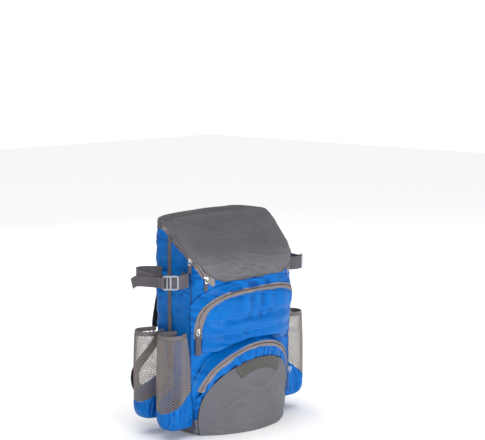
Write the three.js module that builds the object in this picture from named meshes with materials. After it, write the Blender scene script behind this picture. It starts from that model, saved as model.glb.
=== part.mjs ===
// Baseball backpack with four side sleeves, standing upright and packed out.
// Millimetres, +Z up. The front faces -Y, the back panel faces +Y, and X runs from side to side.
// Before the last lines centre it, Y = 0 is the plane of the two front seams and Z = 0 the floor.
import * as THREE from 'three';

// Main body
const bodyWidth = 340;
const bodyHeight = 507; // up to the rim of the lid's flat top
const bodyDepth = 130; // from the front seams to the back panel
const frontBulge = 66; // how far the pockets stand out in the middle
const rearCornerRadius = 24;
const bodyWall = 3;
const seamGap = 0.4; // between pieces that meet edge to edge
const layGap = 0.4; // between pieces that lie on each other
const pocketGap = 2.4; // between the body and the pockets' side walls
const restGap = 1.2; // between pieces that follow a curved wall
const baseEdgeHeight = 14; // top edge of the grey base at the rear
const baseCornerHeight = 40; // the same at the front seams
const baseRound = 9; // radius under the base's edge

// Lid
const lidWall = 3;
const lidCrown = 14; // rise of the flat top above its rim
const lidRim = 8; // how far the lid turns down over the top edge of the sides
const zipBand = 13; // width of every zip band
const zipWall = 1.6;
const zipSeam = 0.9; // between the lid's zip bands and their neighbours
const lidZipEnd = 0.74; // share of the half width where the lid's zip bands end in front

// Upper pocket
const upperTop = 0.686 * bodyHeight;
const upperLeg = 0.465 * bodyHeight; // height where its zip becomes upright
const upperFloor = 0.4 * bodyHeight;
const upperHalfWidth = 0.485 * bodyWidth;
const upperSquare = 3.8;
const upperSliderTurn = -88; // degrees from the arch's top to its slider
const upperGusset = 19;
const upperFaceWall = 5;
const quiltDepth = 2.5;
const quiltLines = [0.55, 0.481, 0.416].map((share) => share * bodyHeight);
const rimGap = 3; // between its face and the lower pocket's rim
const faceTuck = 7; // how far its foot sinks behind the rim
const tuckHeight = 22;

// Lower pocket
const lowerTop = 0.423 * bodyHeight;
const lowerLeg = 0.125 * bodyHeight;
const lowerHalfWidth = 0.488 * bodyWidth;
const lowerSquare = 2.1;
const lowerGusset = 14;
const lowerFaceWall = 2.5;
const zipTurn = 73; // degrees from the arch's top to the zip's ends
const panelSeam = 2.6; // between the gathered band and the grey panel
const panelFloor = 0.5;
const gatherBand = 22; // blue band between the zip and the grey panel, in the middle
const patchHalfWidth = 0.225 * bodyWidth;
const patchHeight = 26;
const patchDrop = 4; // below the panel's top edge
const patchTaper = 0.8; // width of its lower edge, as a share of its upper one
const patchWall = 1.4;
const pocketWall = 2;

// Side sleeves
const sleeveRadius = 35;
const hemRadius = 32; // where the elastic hem draws the net in
const sleeveNeck = 0.86; // half the gap between a sleeve's two seams, as a share of its radius
const hemNeck = 0.5; // the same at the hem
const sleeveReach = 36; // axis of a sleeve outside the side panel
const frontSleeveY = 0.215 * bodyDepth;
const rearSleeveY = 0.823 * bodyDepth;
const sleeveTop = 0.49 * bodyHeight;
const sleeveWaist = 0.3 * bodyHeight; // above it the net narrows to the hem
const netWall = 2;
const hemHeight = 10;
const hemWall = 3;
const frontBootFloor = { left: 20, right: 34 }; // the left one hangs lower, pulled down by its load
const rearBootFloor = { left: 36, right: 36 };
const bootHeight = 44; // of the boot's front face, under the net
const bootRise = 48; // how much higher the boot reaches at the side panel
const bootRoot = 6; // between the boot's floor and the side panel
const bootToe = 0.66; // share of the radius left at the boot's toe

// Side straps
const strapWidth = 25;
const strapWall = 1.8;
const strapRadius = 27; // of the loop around each sleeve's axis
const strapHeight = 0.738 * bodyHeight;
const strapRise = 10; // the strap's rear end is higher than its buckle
const tailDrop = 14; // the loose end hangs lower than the strap
const tailLoose = 7; // and stands away from it
const buckleWidth = 37;
const buckleHeight = 34;
const buckleWall = 3.4;
const buckleBar = 4;
const buckleSlots = 2;
const buckleAngle = 46; // degrees, from the side towards the front
const anchorHeight = 32;
const webbingWidth = 11; // the upright webbing between the sleeves
const webbingTop = 0.927 * bodyHeight;
const webbingBottom = 0.3 * bodyHeight;
const webbingWall = 1.6;

// Back
const padWidth = 0.735 * bodyWidth;
const padHeight = 0.79 * bodyHeight;
const padBottom = 0.118 * bodyHeight;
const padThickness = 14;
const shoulderWidth = 60;
const shoulderThickness = 12;
const shoulderTop = 0.9625 * bodyHeight;
const shoulderBottom = 0.465 * bodyHeight;
const shoulderSlack = 16; // gap between a strap's middle and the back pad
const lowerWebbing = 25;
const adjusterWidth = 34;
const adjusterHeight = 28;
const adjusterWall = 3.6;
const adjusterLap = 7; // over the padded strap above and the webbing below
const tabLength = 62;
const tabHeight = 46;
const tabWall = 2.6;
const tabBottom = 22;
const tabInset = 14; // of the wing's root from the body's side
const tabFlare = 20; // of its tip outwards
const webbingBow = 14; // how far the lower webbing stands out behind the padded strap
const haulWidth = 20;
const haulSpan = 70;
const haulDrop = 34;

// Zip fittings
const sliderLength = 13;
const sliderWidth = 9;
const sliderWall = 3.2;
const pullWidth = 13;
const pullWall = 2;
const upperPullLength = 50;
const lowerPullLength = 48;
const lidPullLength = 22;

// Colours, roughness and metalness of the finishes
const finishes = {
  blueCloth: { color: 0x1a76d8, roughness: 0.62, metalness: 0 },
  greyCloth: { color: 0x66666b, roughness: 0.6, metalness: 0 },
  zipTape: { color: 0x7b7272, roughness: 0.75, metalness: 0 },
  net: { color: 0x7a7470, roughness: 0.8, metalness: 0 },
  webbing: { color: 0x57525a, roughness: 0.8, metalness: 0 },
  backCloth: { color: 0x2e2d31, roughness: 0.85, metalness: 0 },
  buckle: { color: 0x8f949c, roughness: 0.4, metalness: 0 },
  metal: { color: 0xb9b7b2, roughness: 0.28, metalness: 1 },
};

// The body's outline at heights given as shares of bodyHeight. Half width is a share of half
// bodyWidth, setBack of bodyDepth (how far the front seams lie behind Y = 0), and the two bulges of
// frontBulge: the plain body behind the pockets, and the pockets' own faces. A higher square
// number makes the front boxier in plan.
const outline = [
  { height: 0, half: 0.9, setBack: 0, body: 0.34, face: 1, square: 2.3 },
  { height: 0.1, half: 0.945, setBack: 0, body: 0.34, face: 1.02, square: 2.3 },
  { height: 0.22, half: 1, setBack: 0, body: 0.34, face: 1.03, square: 2.3 },
  { height: 0.38, half: 1, setBack: 0, body: 0.36, face: 0.97, square: 2.5 },
  { height: 0.52, half: 1, setBack: 0, body: 0.4, face: 0.9, square: 4 },
  { height: 0.62, half: 1, setBack: 0, body: 0.46, face: 0.9, square: 6 },
  { height: 0.69, half: 1, setBack: -0.01, body: 0.62, face: 0.8, square: 6 },
  { height: 0.755, half: 1, setBack: -0.03, body: 0.68, face: 0.68, square: 5 },
  { height: 0.812, half: 1, setBack: -0.045, body: 0.69, face: 0.69, square: 5 },
  { height: 0.864, half: 1, setBack: 0.045, body: 0.52, face: 0.52, square: 5 },
  { height: 0.907, half: 0.995, setBack: 0.22, body: 0.36, face: 0.36, square: 4 },
  { height: 0.968, half: 0.985, setBack: 0.385, body: 0.18, face: 0.18, square: 3 },
  { height: 1, half: 0.965, setBack: 0.53, body: 0.08, face: 0.08, square: 3 },
];

// The lid's lower edge in front, by shares of the half width, as shares of bodyHeight.
const lidEdge = [
  { half: 0, height: 0.726 },
  { half: 0.35, height: 0.722 },
  { half: 0.6, height: 0.724 },
  { half: 0.74, height: 0.741 },
  { half: 0.86, height: 0.768 },
  { half: 0.93, height: 0.808 },
  { half: 1, height: 0.85 },
];

// Straight-line reading of one column of a table.
function read(table, key, at, column) {
  const last = table.length - 1;
  if (at <= table[0][key]) return table[0][column];
  if (at >= table[last][key]) return table[last][column];
  const next = table.findIndex((row) => row[key] > at);
  const low = table[next - 1];
  const high = table[next];
  const share = (at - low[key]) / (high[key] - low[key]);
  return low[column] + share * (high[column] - low[column]);
}

const vector = (x, y, z) => new THREE.Vector3(x, y, z);
const lerp = THREE.MathUtils.lerp;
const radians = THREE.MathUtils.degToRad;

function spaced(count, from = 0, to = 1) {
  return Array.from({ length: count + 1 }, (_, i) => lerp(from, to, i / count));
}

// A closed triangle mesh built from shared corners; triangles that shrink to a line are left out.
class Solid {
  constructor() {
    this.points = [];
    this.index = [];
    this.known = new Map();
  }
  corner(p) {
    const key = [p.x, p.y, p.z].map((c) => Math.round(c * 1000)).join();
    if (!this.known.has(key)) {
      this.known.set(key, this.points.length / 3);
      this.points.push(p.x, p.y, p.z);
    }
    return this.known.get(key);
  }
  triangle(a, b, c) {
    const [i, j, k] = [a, b, c].map((p) => this.corner(p));
    if (i !== j && j !== k && k !== i) this.index.push(i, j, k);
  }
  quad(a, b, c, d) {
    this.triangle(a, b, c);
    this.triangle(a, c, d);
  }
  volume() {
    const at = (i) => vector().fromArray(this.points, 3 * i);
    let sum = 0;
    for (let i = 0; i < this.index.length; i += 3) {
      const [a, b, c] = this.index.slice(i, i + 3).map(at);
      sum += a.dot(b.cross(c)) / 6;
    }
    return sum;
  }
  geometry() {
    if (this.volume() < 0) this.index.reverse();
    const made = new THREE.BufferGeometry();
    made.setAttribute('position', new THREE.Float32BufferAttribute(this.points, 3));
    made.setIndex(this.index);
    made.computeVertexNormals();
    return made;
  }
}

// A wall: rows of outer points, the same rows moved in by the wall, and the rims between them.
// A ring's columns close on themselves.
function wall(outer, inner, ring = false) {
  const solid = new Solid();
  const rows = outer.length;
  const columns = outer[0].length;
  const steps = ring ? columns : columns - 1;
  for (let r = 0; r < rows - 1; r += 1) {
    for (let c = 0; c < steps; c += 1) {
      const d = (c + 1) % columns;
      solid.quad(outer[r][c], outer[r][d], outer[r + 1][d], outer[r + 1][c]);
      solid.quad(inner[r][d], inner[r][c], inner[r + 1][c], inner[r + 1][d]);
    }
  }
  for (let c = 0; c < steps; c += 1) {
    const d = (c + 1) % columns;
    solid.quad(outer[0][d], outer[0][c], inner[0][c], inner[0][d]);
    solid.quad(outer[rows - 1][c], outer[rows - 1][d], inner[rows - 1][d], inner[rows - 1][c]);
  }
  for (let r = 0; r < rows - 1 && !ring; r += 1) {
    const e = columns - 1;
    solid.quad(outer[r][0], outer[r + 1][0], inner[r + 1][0], inner[r][0]);
    solid.quad(outer[r + 1][e], outer[r][e], inner[r][e], inner[r + 1][e]);
  }
  return solid.geometry();
}

// The normal of a surface given as a function of two values, by small steps to each side.
function normalOf(surface, u, v, du, dv) {
  const along = surface(u + du, v).sub(surface(u - du, v));
  const up = surface(u, v + dv).sub(surface(u, v - dv));
  const normal = along.cross(up);
  return normal.length() < 1e-9 ? vector(0, 0, 1) : normal.normalize();
}

// A tube through rings of points, closed by a flat fan at both ends.
function tube(rings) {
  const solid = new Solid();
  const sides = rings[0].length;
  for (let r = 0; r < rings.length - 1; r += 1) {
    for (let c = 0; c < sides; c += 1) {
      const d = (c + 1) % sides;
      solid.quad(rings[r][c], rings[r][d], rings[r + 1][d], rings[r + 1][c]);
    }
  }
  for (const [ring, turn] of [[rings[0], 1], [rings[rings.length - 1], 0]]) {
    for (let c = 1; c < sides - 1; c += 1) {
      const [a, b] = turn ? [c + 1, c] : [c, c + 1];
      solid.triangle(ring[0], ring[a], ring[b]);
    }
  }
  return solid.geometry();
}

// Points along a smooth curve through a few stations, or the stations themselves.
function smooth(stations, count) {
  return new THREE.CatmullRomCurve3(stations, false, 'centripetal').getPoints(count);
}

// A flat band along a path. The band's width follows the given direction and its outer face
// stands off the path by lift.
function band(path, across, width, thickness, lift = 0, sides = 4) {
  const rings = path.map((p, i) => {
    const tangent = path[Math.min(i + 1, path.length - 1)].clone();
    tangent.sub(path[Math.max(i - 1, 0)]).normalize();
    const wide = across.clone().addScaledVector(tangent, -across.dot(tangent)).normalize();
    const thick = tangent.clone().cross(wide);
    return Array.from({ length: sides }, (_, k) => {
      const turn = (2 * Math.PI * (k + 0.5)) / sides;
      const grow = sides === 4 ? Math.SQRT2 : 1;
      return p
        .clone()
        .addScaledVector(wide, (width / 2) * grow * Math.cos(turn))
        .addScaledVector(thick, lift + (thickness / 2) * grow * Math.sin(turn));
    });
  });
  return tube(rings);
}

// The body's surface

const halfWidthAt = (z) => (bodyWidth / 2) * read(outline, 'height', z / bodyHeight, 'half');
const seamAt = (z) => bodyDepth * read(outline, 'height', z / bodyHeight, 'setBack');

// Front surface at a share s of the half width, for the plain body or the pockets' faces.
function front(s, z, which) {
  const bulge = frontBulge * read(outline, 'height', z / bodyHeight, which);
  const square = read(outline, 'height', z / bodyHeight, 'square');
  const y = seamAt(z) - bulge * (1 - Math.min(1, Math.abs(s)) ** square);
  return vector(s * halfWidthAt(z), y, z);
}

// X of the side wall at a depth y: flat, then round at the rear corner.
function sideX(y, z) {
  const start = bodyDepth - rearCornerRadius;
  if (y <= start) return halfWidthAt(z);
  const rise = Math.min(y - start, rearCornerRadius);
  return halfWidthAt(z) - rearCornerRadius + Math.sqrt(rearCornerRadius ** 2 - rise ** 2);
}

// Stations around the body, counted anticlockwise from above, starting at the left front seam.
const frontShares = [
  -1, -0.93, -0.86, -lidZipEnd - 0.005, -lidZipEnd + 0.005, -0.6, -0.35, 0,
  0.35, 0.6, lidZipEnd - 0.005, lidZipEnd + 0.005, 0.86, 0.93, 1,
];
const sideShares = [0.2, 0.45, 0.72, 1];
const cornerTurns = [30, 60, 90];
const backShares = [0.5, 0, -0.5];

function aroundBody() {
  const corner = (side) => cornerTurns.map((turn) => ({ kind: 'corner', side, turn }));
  const sides = (side) => sideShares.map((t) => ({ kind: 'side', side, t }));
  return [
    ...frontShares.map((s) => ({ kind: 'front', s })),
    ...sides(1),
    ...corner(1),
    ...backShares.map((s) => ({ kind: 'back', s })),
    ...corner(-1).reverse(),
    ...sides(-1).reverse(),
  ];
}
const stations = aroundBody();

function sectionPoint(station, z) {
  if (station.kind === 'front') return front(station.s, z, 'body');
  const half = halfWidthAt(z);
  const flatEnd = bodyDepth - rearCornerRadius;
  if (station.kind === 'side') {
    return vector(station.side * half, lerp(seamAt(z), flatEnd, station.t), z);
  }
  if (station.kind === 'back') {
    return vector(station.s * (half - rearCornerRadius), bodyDepth, z);
  }
  const turn = radians(station.turn);
  const x = half - rearCornerRadius + rearCornerRadius * Math.cos(turn);
  return vector(station.side * x, flatEnd + rearCornerRadius * Math.sin(turn), z);
}

// Outer surface at a level: up the walls, then over the flat top to its middle, at
// bodyHeight + lidCrown. Below baseRound it draws in under the base.
function shellPoint(index, level) {
  const station = stations[(index + stations.length) % stations.length];
  if (level > bodyHeight) {
    const share = Math.min(1, (level - bodyHeight) / lidCrown);
    const rim = sectionPoint(station, bodyHeight);
    const middle = vector(0, (seamAt(bodyHeight) + bodyDepth) / 2, 0);
    const keep = Math.sqrt(1 - share ** 2);
    const z = bodyHeight + lidCrown * share;
    return vector(rim.x * keep, lerp(middle.y, rim.y, keep), z);
  }
  const p = sectionPoint(station, Math.max(level, 0));
  if (level < baseRound) {
    const inset = baseRound - Math.sqrt(baseRound ** 2 - (baseRound - level) ** 2);
    p.x -= Math.sign(p.x) * Math.min(inset, Math.abs(p.x));
    const middleY = bodyDepth / 2;
    p.y -= Math.sign(p.y - middleY) * inset;
  }
  return p;
}

function shellNormal(index, level) {
  const low = Math.max(level - 2, 0.5);
  const along = shellPoint(index + 1, level).sub(shellPoint(index - 1, level));
  const up = shellPoint(index, level + 2).sub(shellPoint(index, low));
  const normal = along.cross(up);
  return normal.length() < 1e-6 ? vector(0, 0, 1) : normal.normalize();
}

// A stretch of the shell between two levels per station, moved out by lift.
function shellWall(indexes, lowAt, highAt, rows, thickness, lift = 0, ring = false) {
  const levels = spaced(rows);
  const layer = (inset) =>
    levels.map((share) =>
      indexes.map((i) => {
        const level = lerp(lowAt(i), highAt(i), share);
        return shellPoint(i, level).addScaledVector(shellNormal(i, level), lift - inset);
      }),
    );
  return wall(layer(0), layer(thickness), ring);
}

const everyStation = stations.map((_, i) => i);

// Level of the lid's lower edge at a station. On the sides it follows the sloping top edge.
function lidLevel(index) {
  const station = stations[(index + stations.length) % stations.length];
  if (station.kind === 'front') {
    return bodyHeight * read(lidEdge, 'half', Math.abs(station.s), 'height');
  }
  if (station.kind !== 'side') return bodyHeight - lidRim;
  const start = bodyHeight * lidEdge[lidEdge.length - 1].height;
  return lerp(start, bodyHeight - lidRim, Math.min(1, station.t / sideShares[2]) ** 0.8);
}

// The zip band lies below the lid's edge along both sides and round the front corners.
function hasZip(index) {
  const station = stations[index];
  if (station.kind === 'side') return true;
  return station.kind === 'front' && Math.abs(station.s) > lidZipEnd;
}

function zipDrop(index) {
  const station = stations[index];
  const steep = station.kind === 'side' && station.t >= sideShares[2] ? 1 : 1.45;
  return zipBand * steep;
}

function bodyTop(index) {
  return lidLevel(index) - (hasZip(index) ? zipDrop(index) + 2 * zipSeam : seamGap);
}

function baseTop(index) {
  const station = stations[index];
  if (station.kind === 'side') return lerp(baseCornerHeight, baseEdgeHeight, station.t);
  if (station.kind === 'front') return lerp(baseEdgeHeight, baseCornerHeight, Math.abs(station.s));
  return baseEdgeHeight;
}

const parts = new THREE.Group();

function add(name, finish, geometry, place) {
  const mesh = new THREE.Mesh(geometry, new THREE.MeshStandardMaterial(finishes[finish]));
  mesh.name = name;
  if (place) mesh.applyMatrix4(place);
  parts.add(mesh);
  return mesh;
}

function addBody() {
  const low = (i) => baseTop(i) + seamGap;
  add('body_shell', 'blueCloth', shellWall(everyStation, low, bodyTop, 9, bodyWall, 0, true));
}

// The base: its band round the foot of the walls and its floor, drawn in to the middle.
function addBase() {
  const middle = vector(0, bodyDepth / 2, 0);
  const floorRow = (keep, z) =>
    everyStation.map((i) => shellPoint(i, 0).lerp(middle, 1 - keep).setZ(z));
  const wallRow = (share, inset) =>
    everyStation.map((i) => {
      const level = lerp(0, baseTop(i), share);
      const p = shellPoint(i, level);
      const side = shellNormal(i, Math.max(level, baseRound)).setZ(0).normalize();
      return p.addScaledVector(side, -inset).setZ(Math.max(p.z, inset));
    });
  const shares = [0, 0.12, 0.35, 1];
  const outer = [floorRow(0, 0), floorRow(0.6, 0), ...shares.map((s) => wallRow(s, 0))];
  const inner = [
    floorRow(0, bodyWall),
    floorRow(0.6, bodyWall),
    ...shares.map((s) => wallRow(s, bodyWall)),
  ];
  add('base_panel', 'greyCloth', wall(outer, inner, true));
}

function addLid() {
  const shares = [0, 0.2, 0.42, 0.64, 0.84, 1];
  const top = (i) => Math.max(bodyHeight, lidLevel(i) + 1);
  const capLevels = [0.35, 0.7, 0.92, 1].map((share) => bodyHeight + lidCrown * share);
  const layer = (inset) => [
    ...shares.map((share) =>
      everyStation.map((i) => {
        const level = lerp(lidLevel(i), top(i), share);
        return shellPoint(i, level).addScaledVector(shellNormal(i, level), -inset);
      }),
    ),
    ...capLevels.map((level) =>
      everyStation.map((i) => shellPoint(i, level).add(vector(0, 0, -inset))),
    ),
  ];
  add('lid', 'greyCloth', wall(layer(0), layer(lidWall), true));
}

function addLidZips() {
  const low = (i) => lidLevel(i) - zipSeam - zipDrop(i);
  const high = (i) => lidLevel(i) - zipSeam;
  const zipped = everyStation.filter(hasZip);
  const left = (i) => sectionPoint(stations[i], 0).x < 0;
  const rightRun = zipped.filter((i) => !left(i));
  const start = zipped.findIndex((i) => stations[i].kind === 'side' && left(i));
  const leftRun = [...zipped.slice(start), ...zipped.slice(0, start).filter(left)];
  add('lid_zip_tape_right', 'zipTape', shellWall(rightRun, low, high, 1, zipWall));
  add('lid_zip_tape_left', 'zipTape', shellWall(leftRun, low, high, 1, zipWall));
}

// The two front pockets

// A pocket's arch at a turn from -90 to 90 degrees, drawn in by inset along its own normal:
// [share of the half width, height].
function archPoint(arch, turn, inset) {
  const at = (degrees) => {
    const angle = radians(degrees);
    const x = Math.sign(angle) * Math.abs(Math.sin(angle)) ** (2 / arch.square);
    const z = Math.abs(Math.cos(angle)) ** (2 / arch.square);
    return new THREE.Vector2(x * arch.half, arch.leg + z * (arch.top - arch.leg));
  };
  const p = at(turn);
  const step = 0.5;
  const run = at(Math.min(turn + step, 90)).sub(at(Math.max(turn - step, -90))).normalize();
  p.x += run.y * inset;
  p.y -= run.x * inset;
  const limit = bodyWidth / 2 - layGap;
  p.x = THREE.MathUtils.clamp(p.x, -limit, limit);
  return p;
}

const upperArch = { half: upperHalfWidth, top: upperTop, leg: upperLeg, square: upperSquare };
const lowerArch = { half: lowerHalfWidth, top: lowerTop, leg: lowerLeg, square: lowerSquare };
const archTurns = [-90, -78, -66, -54, -42, -30, -18, -6, 6, 18, 30, 42, 54, 66, 78, 90];

// A point of the pockets' faces from panel coordinates, moved in along the surface's normal.
function facePoint(x, z, inset) {
  const surface = (u, v) => front(u, v, 'face');
  const s = x / (bodyWidth / 2);
  const edge = THREE.MathUtils.clamp(s, -0.985, 0.985);
  return surface(s, z).addScaledVector(normalOf(surface, edge, z, 0.01, 1), -inset);
}

// A point just off the plain body behind a pocket.
function bodyPoint(x, z, lift) {
  const surface = (u, v) => front(u, v, 'body');
  const s = x / (bodyWidth / 2);
  const edge = THREE.MathUtils.clamp(s, -0.985, 0.985);
  return surface(s, z).addScaledVector(normalOf(surface, edge, z, 0.01, 1), lift);
}

// The strip of face between two inset lines of an arch.
function archStrip(arch, from, to, thickness, turns) {
  const row = (inset, depth) =>
    turns.map((turn) => {
      const p = archPoint(arch, turn, inset);
      return facePoint(p.x, p.y, depth);
    });
  const both = (depth) => [row(from, depth), row(to, depth)];
  return wall(both(0), both(thickness));
}

// The pocket's side wall: from the plain body, out and over to the zip's outer edge, and on both
// sides straight down to the pocket's floor. Each row is an inset line of the arch, with its share
// of the way out from the body to the face, and how far the wall has turned to lie in the face.
const gussetRows = [
  { inset: -1, out: 0, turned: 0 },
  { inset: -0.42, out: 0.62, turned: 0.45 },
  { inset: -0.12, out: 0.92, turned: 0.8 },
  { inset: 0, out: 1, turned: 1 },
];

function gusset(arch, reach, floor, turns) {
  const layer = (thickness) =>
    gussetRows.map(({ inset, out, turned }) => {
      const across = inset * reach - seamGap + thickness * (1 - turned);
      const line = turns.map((turn) => archPoint(arch, turn, across));
      const foot = (p) => new THREE.Vector2(p.x, floor);
      const run = [foot(line[0]), ...line, foot(line[line.length - 1])];
      return run.map((p) =>
        bodyPoint(p.x, p.y, pocketGap).lerp(facePoint(p.x, p.y, thickness * turned), out),
      );
    });
  return wall(layer(0), layer(pocketWall));
}

// Height of an arch's inset line at a distance from the middle.
function archHeight(arch, x, inset) {
  let [low, high] = [0, 90];
  for (let i = 0; i < 24; i += 1) {
    const turn = (low + high) / 2;
    if (archPoint(arch, turn, inset).x < Math.abs(x)) low = turn;
    else high = turn;
  }
  return archPoint(arch, low, inset).y;
}

// A pocket's face inside an inset line: columns from its floor up to the arch. It has sewn
// channels, and its foot tucks in by the given depth.
function face(topLine, floorAt, thickness, rows, channels = [], tuck = 0) {
  const groove = (z) =>
    channels.reduce((sum, line) => sum + quiltDepth * Math.exp(-(((z - line) / 4) ** 2)), 0);
  const layer = (inset) =>
    rows.map((share) =>
      topLine.map((p) => {
        const floor = floorAt(p.x);
        const z = lerp(floor, Math.max(p.y, floor + 1), share);
        const middle = 1 - (p.x / upperHalfWidth) ** 2;
        const tucked = tuck * middle * Math.max(0, 1 - (z - floor) / tuckHeight) ** 2;
        return facePoint(p.x, z, inset + tucked + (inset ? 0 : groove(z)));
      }),
    );
  return wall(layer(0), layer(thickness));
}

function addUpperPocket() {
  const turns = [-90, upperSliderTurn, ...archTurns.slice(1, -1), -upperSliderTurn, 90];
  add('upper_pocket_gusset', 'blueCloth', gusset(upperArch, upperGusset, upperFloor, turns));
  add('upper_pocket_zip_tape', 'zipTape', archStrip(upperArch, 0, zipBand, zipWall, turns));
  const line = turns.map((turn) => archPoint(upperArch, turn, zipBand + seamGap));
  // The face ends above the lower pocket's rim.
  const floorAt = (x) =>
    Math.max(upperFloor, archHeight(lowerArch, x, -lowerGusset) + rimGap);
  const shares = [0, 0.06, 0.13, 0.2, 0.29, 0.38, 0.47, 0.56, 0.65, 0.74, 0.84, 0.92, 1];
  const made = face(line, floorAt, upperFaceWall, shares, quiltLines, faceTuck);
  add('upper_pocket_face', 'blueCloth', made);
}

function addLowerPocket() {
  const zipTurns = [-zipTurn, ...archTurns.slice(2, -2), zipTurn];
  const allTurns = [-90, -80, ...zipTurns, 80, 90];
  const side = gusset(lowerArch, lowerGusset, baseCornerHeight, allTurns);
  add('lower_pocket_gusset', 'blueCloth', side);
  add('lower_pocket_zip_tape', 'zipTape', archStrip(lowerArch, 0, zipBand, zipWall, zipTurns));
  const panelDrop = zipBand + gatherBand;
  // The grey panel's top edge is the zip's line lowered, so it flares out to the seams below.
  const lowered = (turn, inset) => {
    const p = archPoint(lowerArch, turn, inset);
    return new THREE.Vector2(p.x, Math.max(p.y - panelDrop, baseCornerHeight));
  };
  // The blue band fills up to the zip, and past the zip's ends up to the gusset.
  const bandInset = (turn) => 2 * seamGap + (Math.abs(turn) > zipTurn ? 0 : zipBand);
  const bandRow = (depth) => [
    allTurns.map((turn) => {
      const p = archPoint(lowerArch, turn, bandInset(turn));
      return facePoint(p.x, p.y, depth);
    }),
    allTurns.map((turn) => {
      const p = lowered(turn, 0);
      return facePoint(p.x, p.y, depth);
    }),
  ];
  add('lower_pocket_band', 'blueCloth', wall(bandRow(0), bandRow(pocketWall)));
  const line = allTurns.map((turn) => lowered(turn, panelSeam));
  const made = face(line, () => panelFloor, lowerFaceWall, [0, 0.15, 0.4, 0.7, 1]);
  add('lower_pocket_panel', 'greyCloth', made);
  // The patch lies on the panel, under its top edge.
  const top = lowerTop - panelDrop - patchDrop;
  const xs = spaced(12, -patchHalfWidth, patchHalfWidth);
  const patch = (depth) =>
    [0, 1].map((share) =>
      xs.map((x) => {
        const sag = (lowerTop - lowerLeg) * (1 - Math.sqrt(1 - (x / lowerHalfWidth) ** 2));
        const narrow = lerp(patchTaper, 1, share);
        return facePoint(x * narrow, top - sag - (1 - share) * patchHeight, depth);
      }),
    );
  add('lower_pocket_patch', 'backCloth', wall(patch(-layGap - patchWall), patch(-layGap)));
}

// Side sleeves

// The path of a sleeve's wall in plan, from the side panel round to the side panel again, for the
// side that lies at +X. Share 0 is the front end. Scale draws the wall in as a share of its
// radius, and inset in millimetres.
function sleevePath(centreY, inset, share, z, scale = 1) {
  const drawn = Math.max(0, Math.min(1, (z - sleeveWaist) / (sleeveTop - sleeveWaist))) ** 1.5;
  const radius = scale * lerp(sleeveRadius, hemRadius, drawn) - inset;
  const neck = radius * lerp(sleeveNeck, hemNeck, drawn);
  const axisX = bodyWidth / 2 + sleeveReach;
  const rearNeck = Math.min(neck, bodyDepth - centreY - 6);
  const turn = radians(lerp(-112, 112, (share - 0.12) / 0.76));
  if (share < 0.12 || share > 0.88) {
    const sign = share < 0.5 ? -1 : 1;
    const y = centreY + sign * (share < 0.5 ? neck : rearNeck);
    const foot = vector(sideX(y, z) + restGap, y, z);
    const edge = radians(112);
    const start = vector(axisX + radius * Math.cos(edge), centreY + sign * radius * Math.sin(edge), z);
    const part = share < 0.5 ? share / 0.12 : (1 - share) / 0.12;
    return foot.lerp(start, part);
  }
  return vector(axisX + radius * Math.cos(turn), centreY + radius * Math.sin(turn), z);
}

const sleeveShares = [0, 0.12, 0.22, 0.33, 0.44, 0.56, 0.67, 0.78, 0.88, 1];

function bootTop(floor, share) {
  return floor + bootHeight + bootRise * Math.abs(2 * share - 1) ** 1.6;
}

function sleeveWall(side, centreY, lowAt, highAt, rows, thickness, outset = 0) {
  const layer = (inset) =>
    spaced(rows).map((part) =>
      sleeveShares.map((share) => {
        const z = lerp(lowAt(share), highAt(share), part);
        const p = sleevePath(centreY, inset - outset, share, z);
        return vector(p.x * side, p.y, p.z);
      }),
    );
  return wall(layer(0), layer(thickness));
}

// The cup at a sleeve's foot: its wall narrows to a toe and its floor runs back to the side panel.
function bootWall(side, centreY, floor) {
  const rows = [
    { level: 1, radius: 1, reach: 1 },
    { level: 0.6, radius: 1, reach: 1 },
    { level: 0.34, radius: 0.95, reach: 0.99 },
    { level: 0.13, radius: 0.83, reach: 0.95 },
    { level: 0, radius: bootToe, reach: 0.86 },
    { level: 0, radius: bootToe, reach: 0.5 },
    { level: 0, radius: bootToe, reach: 0 },
  ];
  const layer = (inset) =>
    rows.map(({ level, radius, reach }) =>
      sleeveShares.map((share) => {
        const z = lerp(floor, bootTop(floor, share) - seamGap, level);
        const height = Math.max(z, floor + inset);
        const p = sleevePath(centreY, inset, share, height, radius);
        const root = vector(sideX(centreY, height) + bootRoot, centreY, height);
        root.lerp(p, reach);
        return vector(root.x * side, root.y, root.z);
      }),
    );
  return wall(layer(0), layer(netWall));
}

function addSleeves() {
  for (const [sideName, side] of [['left', -1], ['right', 1]]) {
    for (const [placeName, centreY, floor] of [
      ['front', frontSleeveY, frontBootFloor[sideName]],
      ['rear', rearSleeveY, rearBootFloor[sideName]],
    ]) {
      const place = `${placeName}_${sideName}`;
      const hemBottom = sleeveTop - hemHeight;
      const netLow = (share) => bootTop(floor, share);
      const netHigh = () => hemBottom - seamGap;
      const net = sleeveWall(side, centreY, netLow, netHigh, 4, netWall);
      add(`sleeve_net_${place}`, 'net', net);
      const hem = [() => hemBottom, () => sleeveTop, 1, hemWall, 0.5];
      add(`sleeve_hem_${place}`, 'net', sleeveWall(side, centreY, ...hem));
      add(`sleeve_boot_${place}`, 'blueCloth', bootWall(side, centreY, floor));
    }
  }
}

// Side straps

// A point on the loop around the sleeve at centreY, by its turn from the side towards the rear.
function loopPoint(centreY, turn, radius, z) {
  const angle = radians(turn);
  const axisX = bodyWidth / 2 + sleeveReach;
  return vector(axisX + radius * Math.cos(angle), centreY + radius * Math.sin(angle), z);
}

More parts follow.
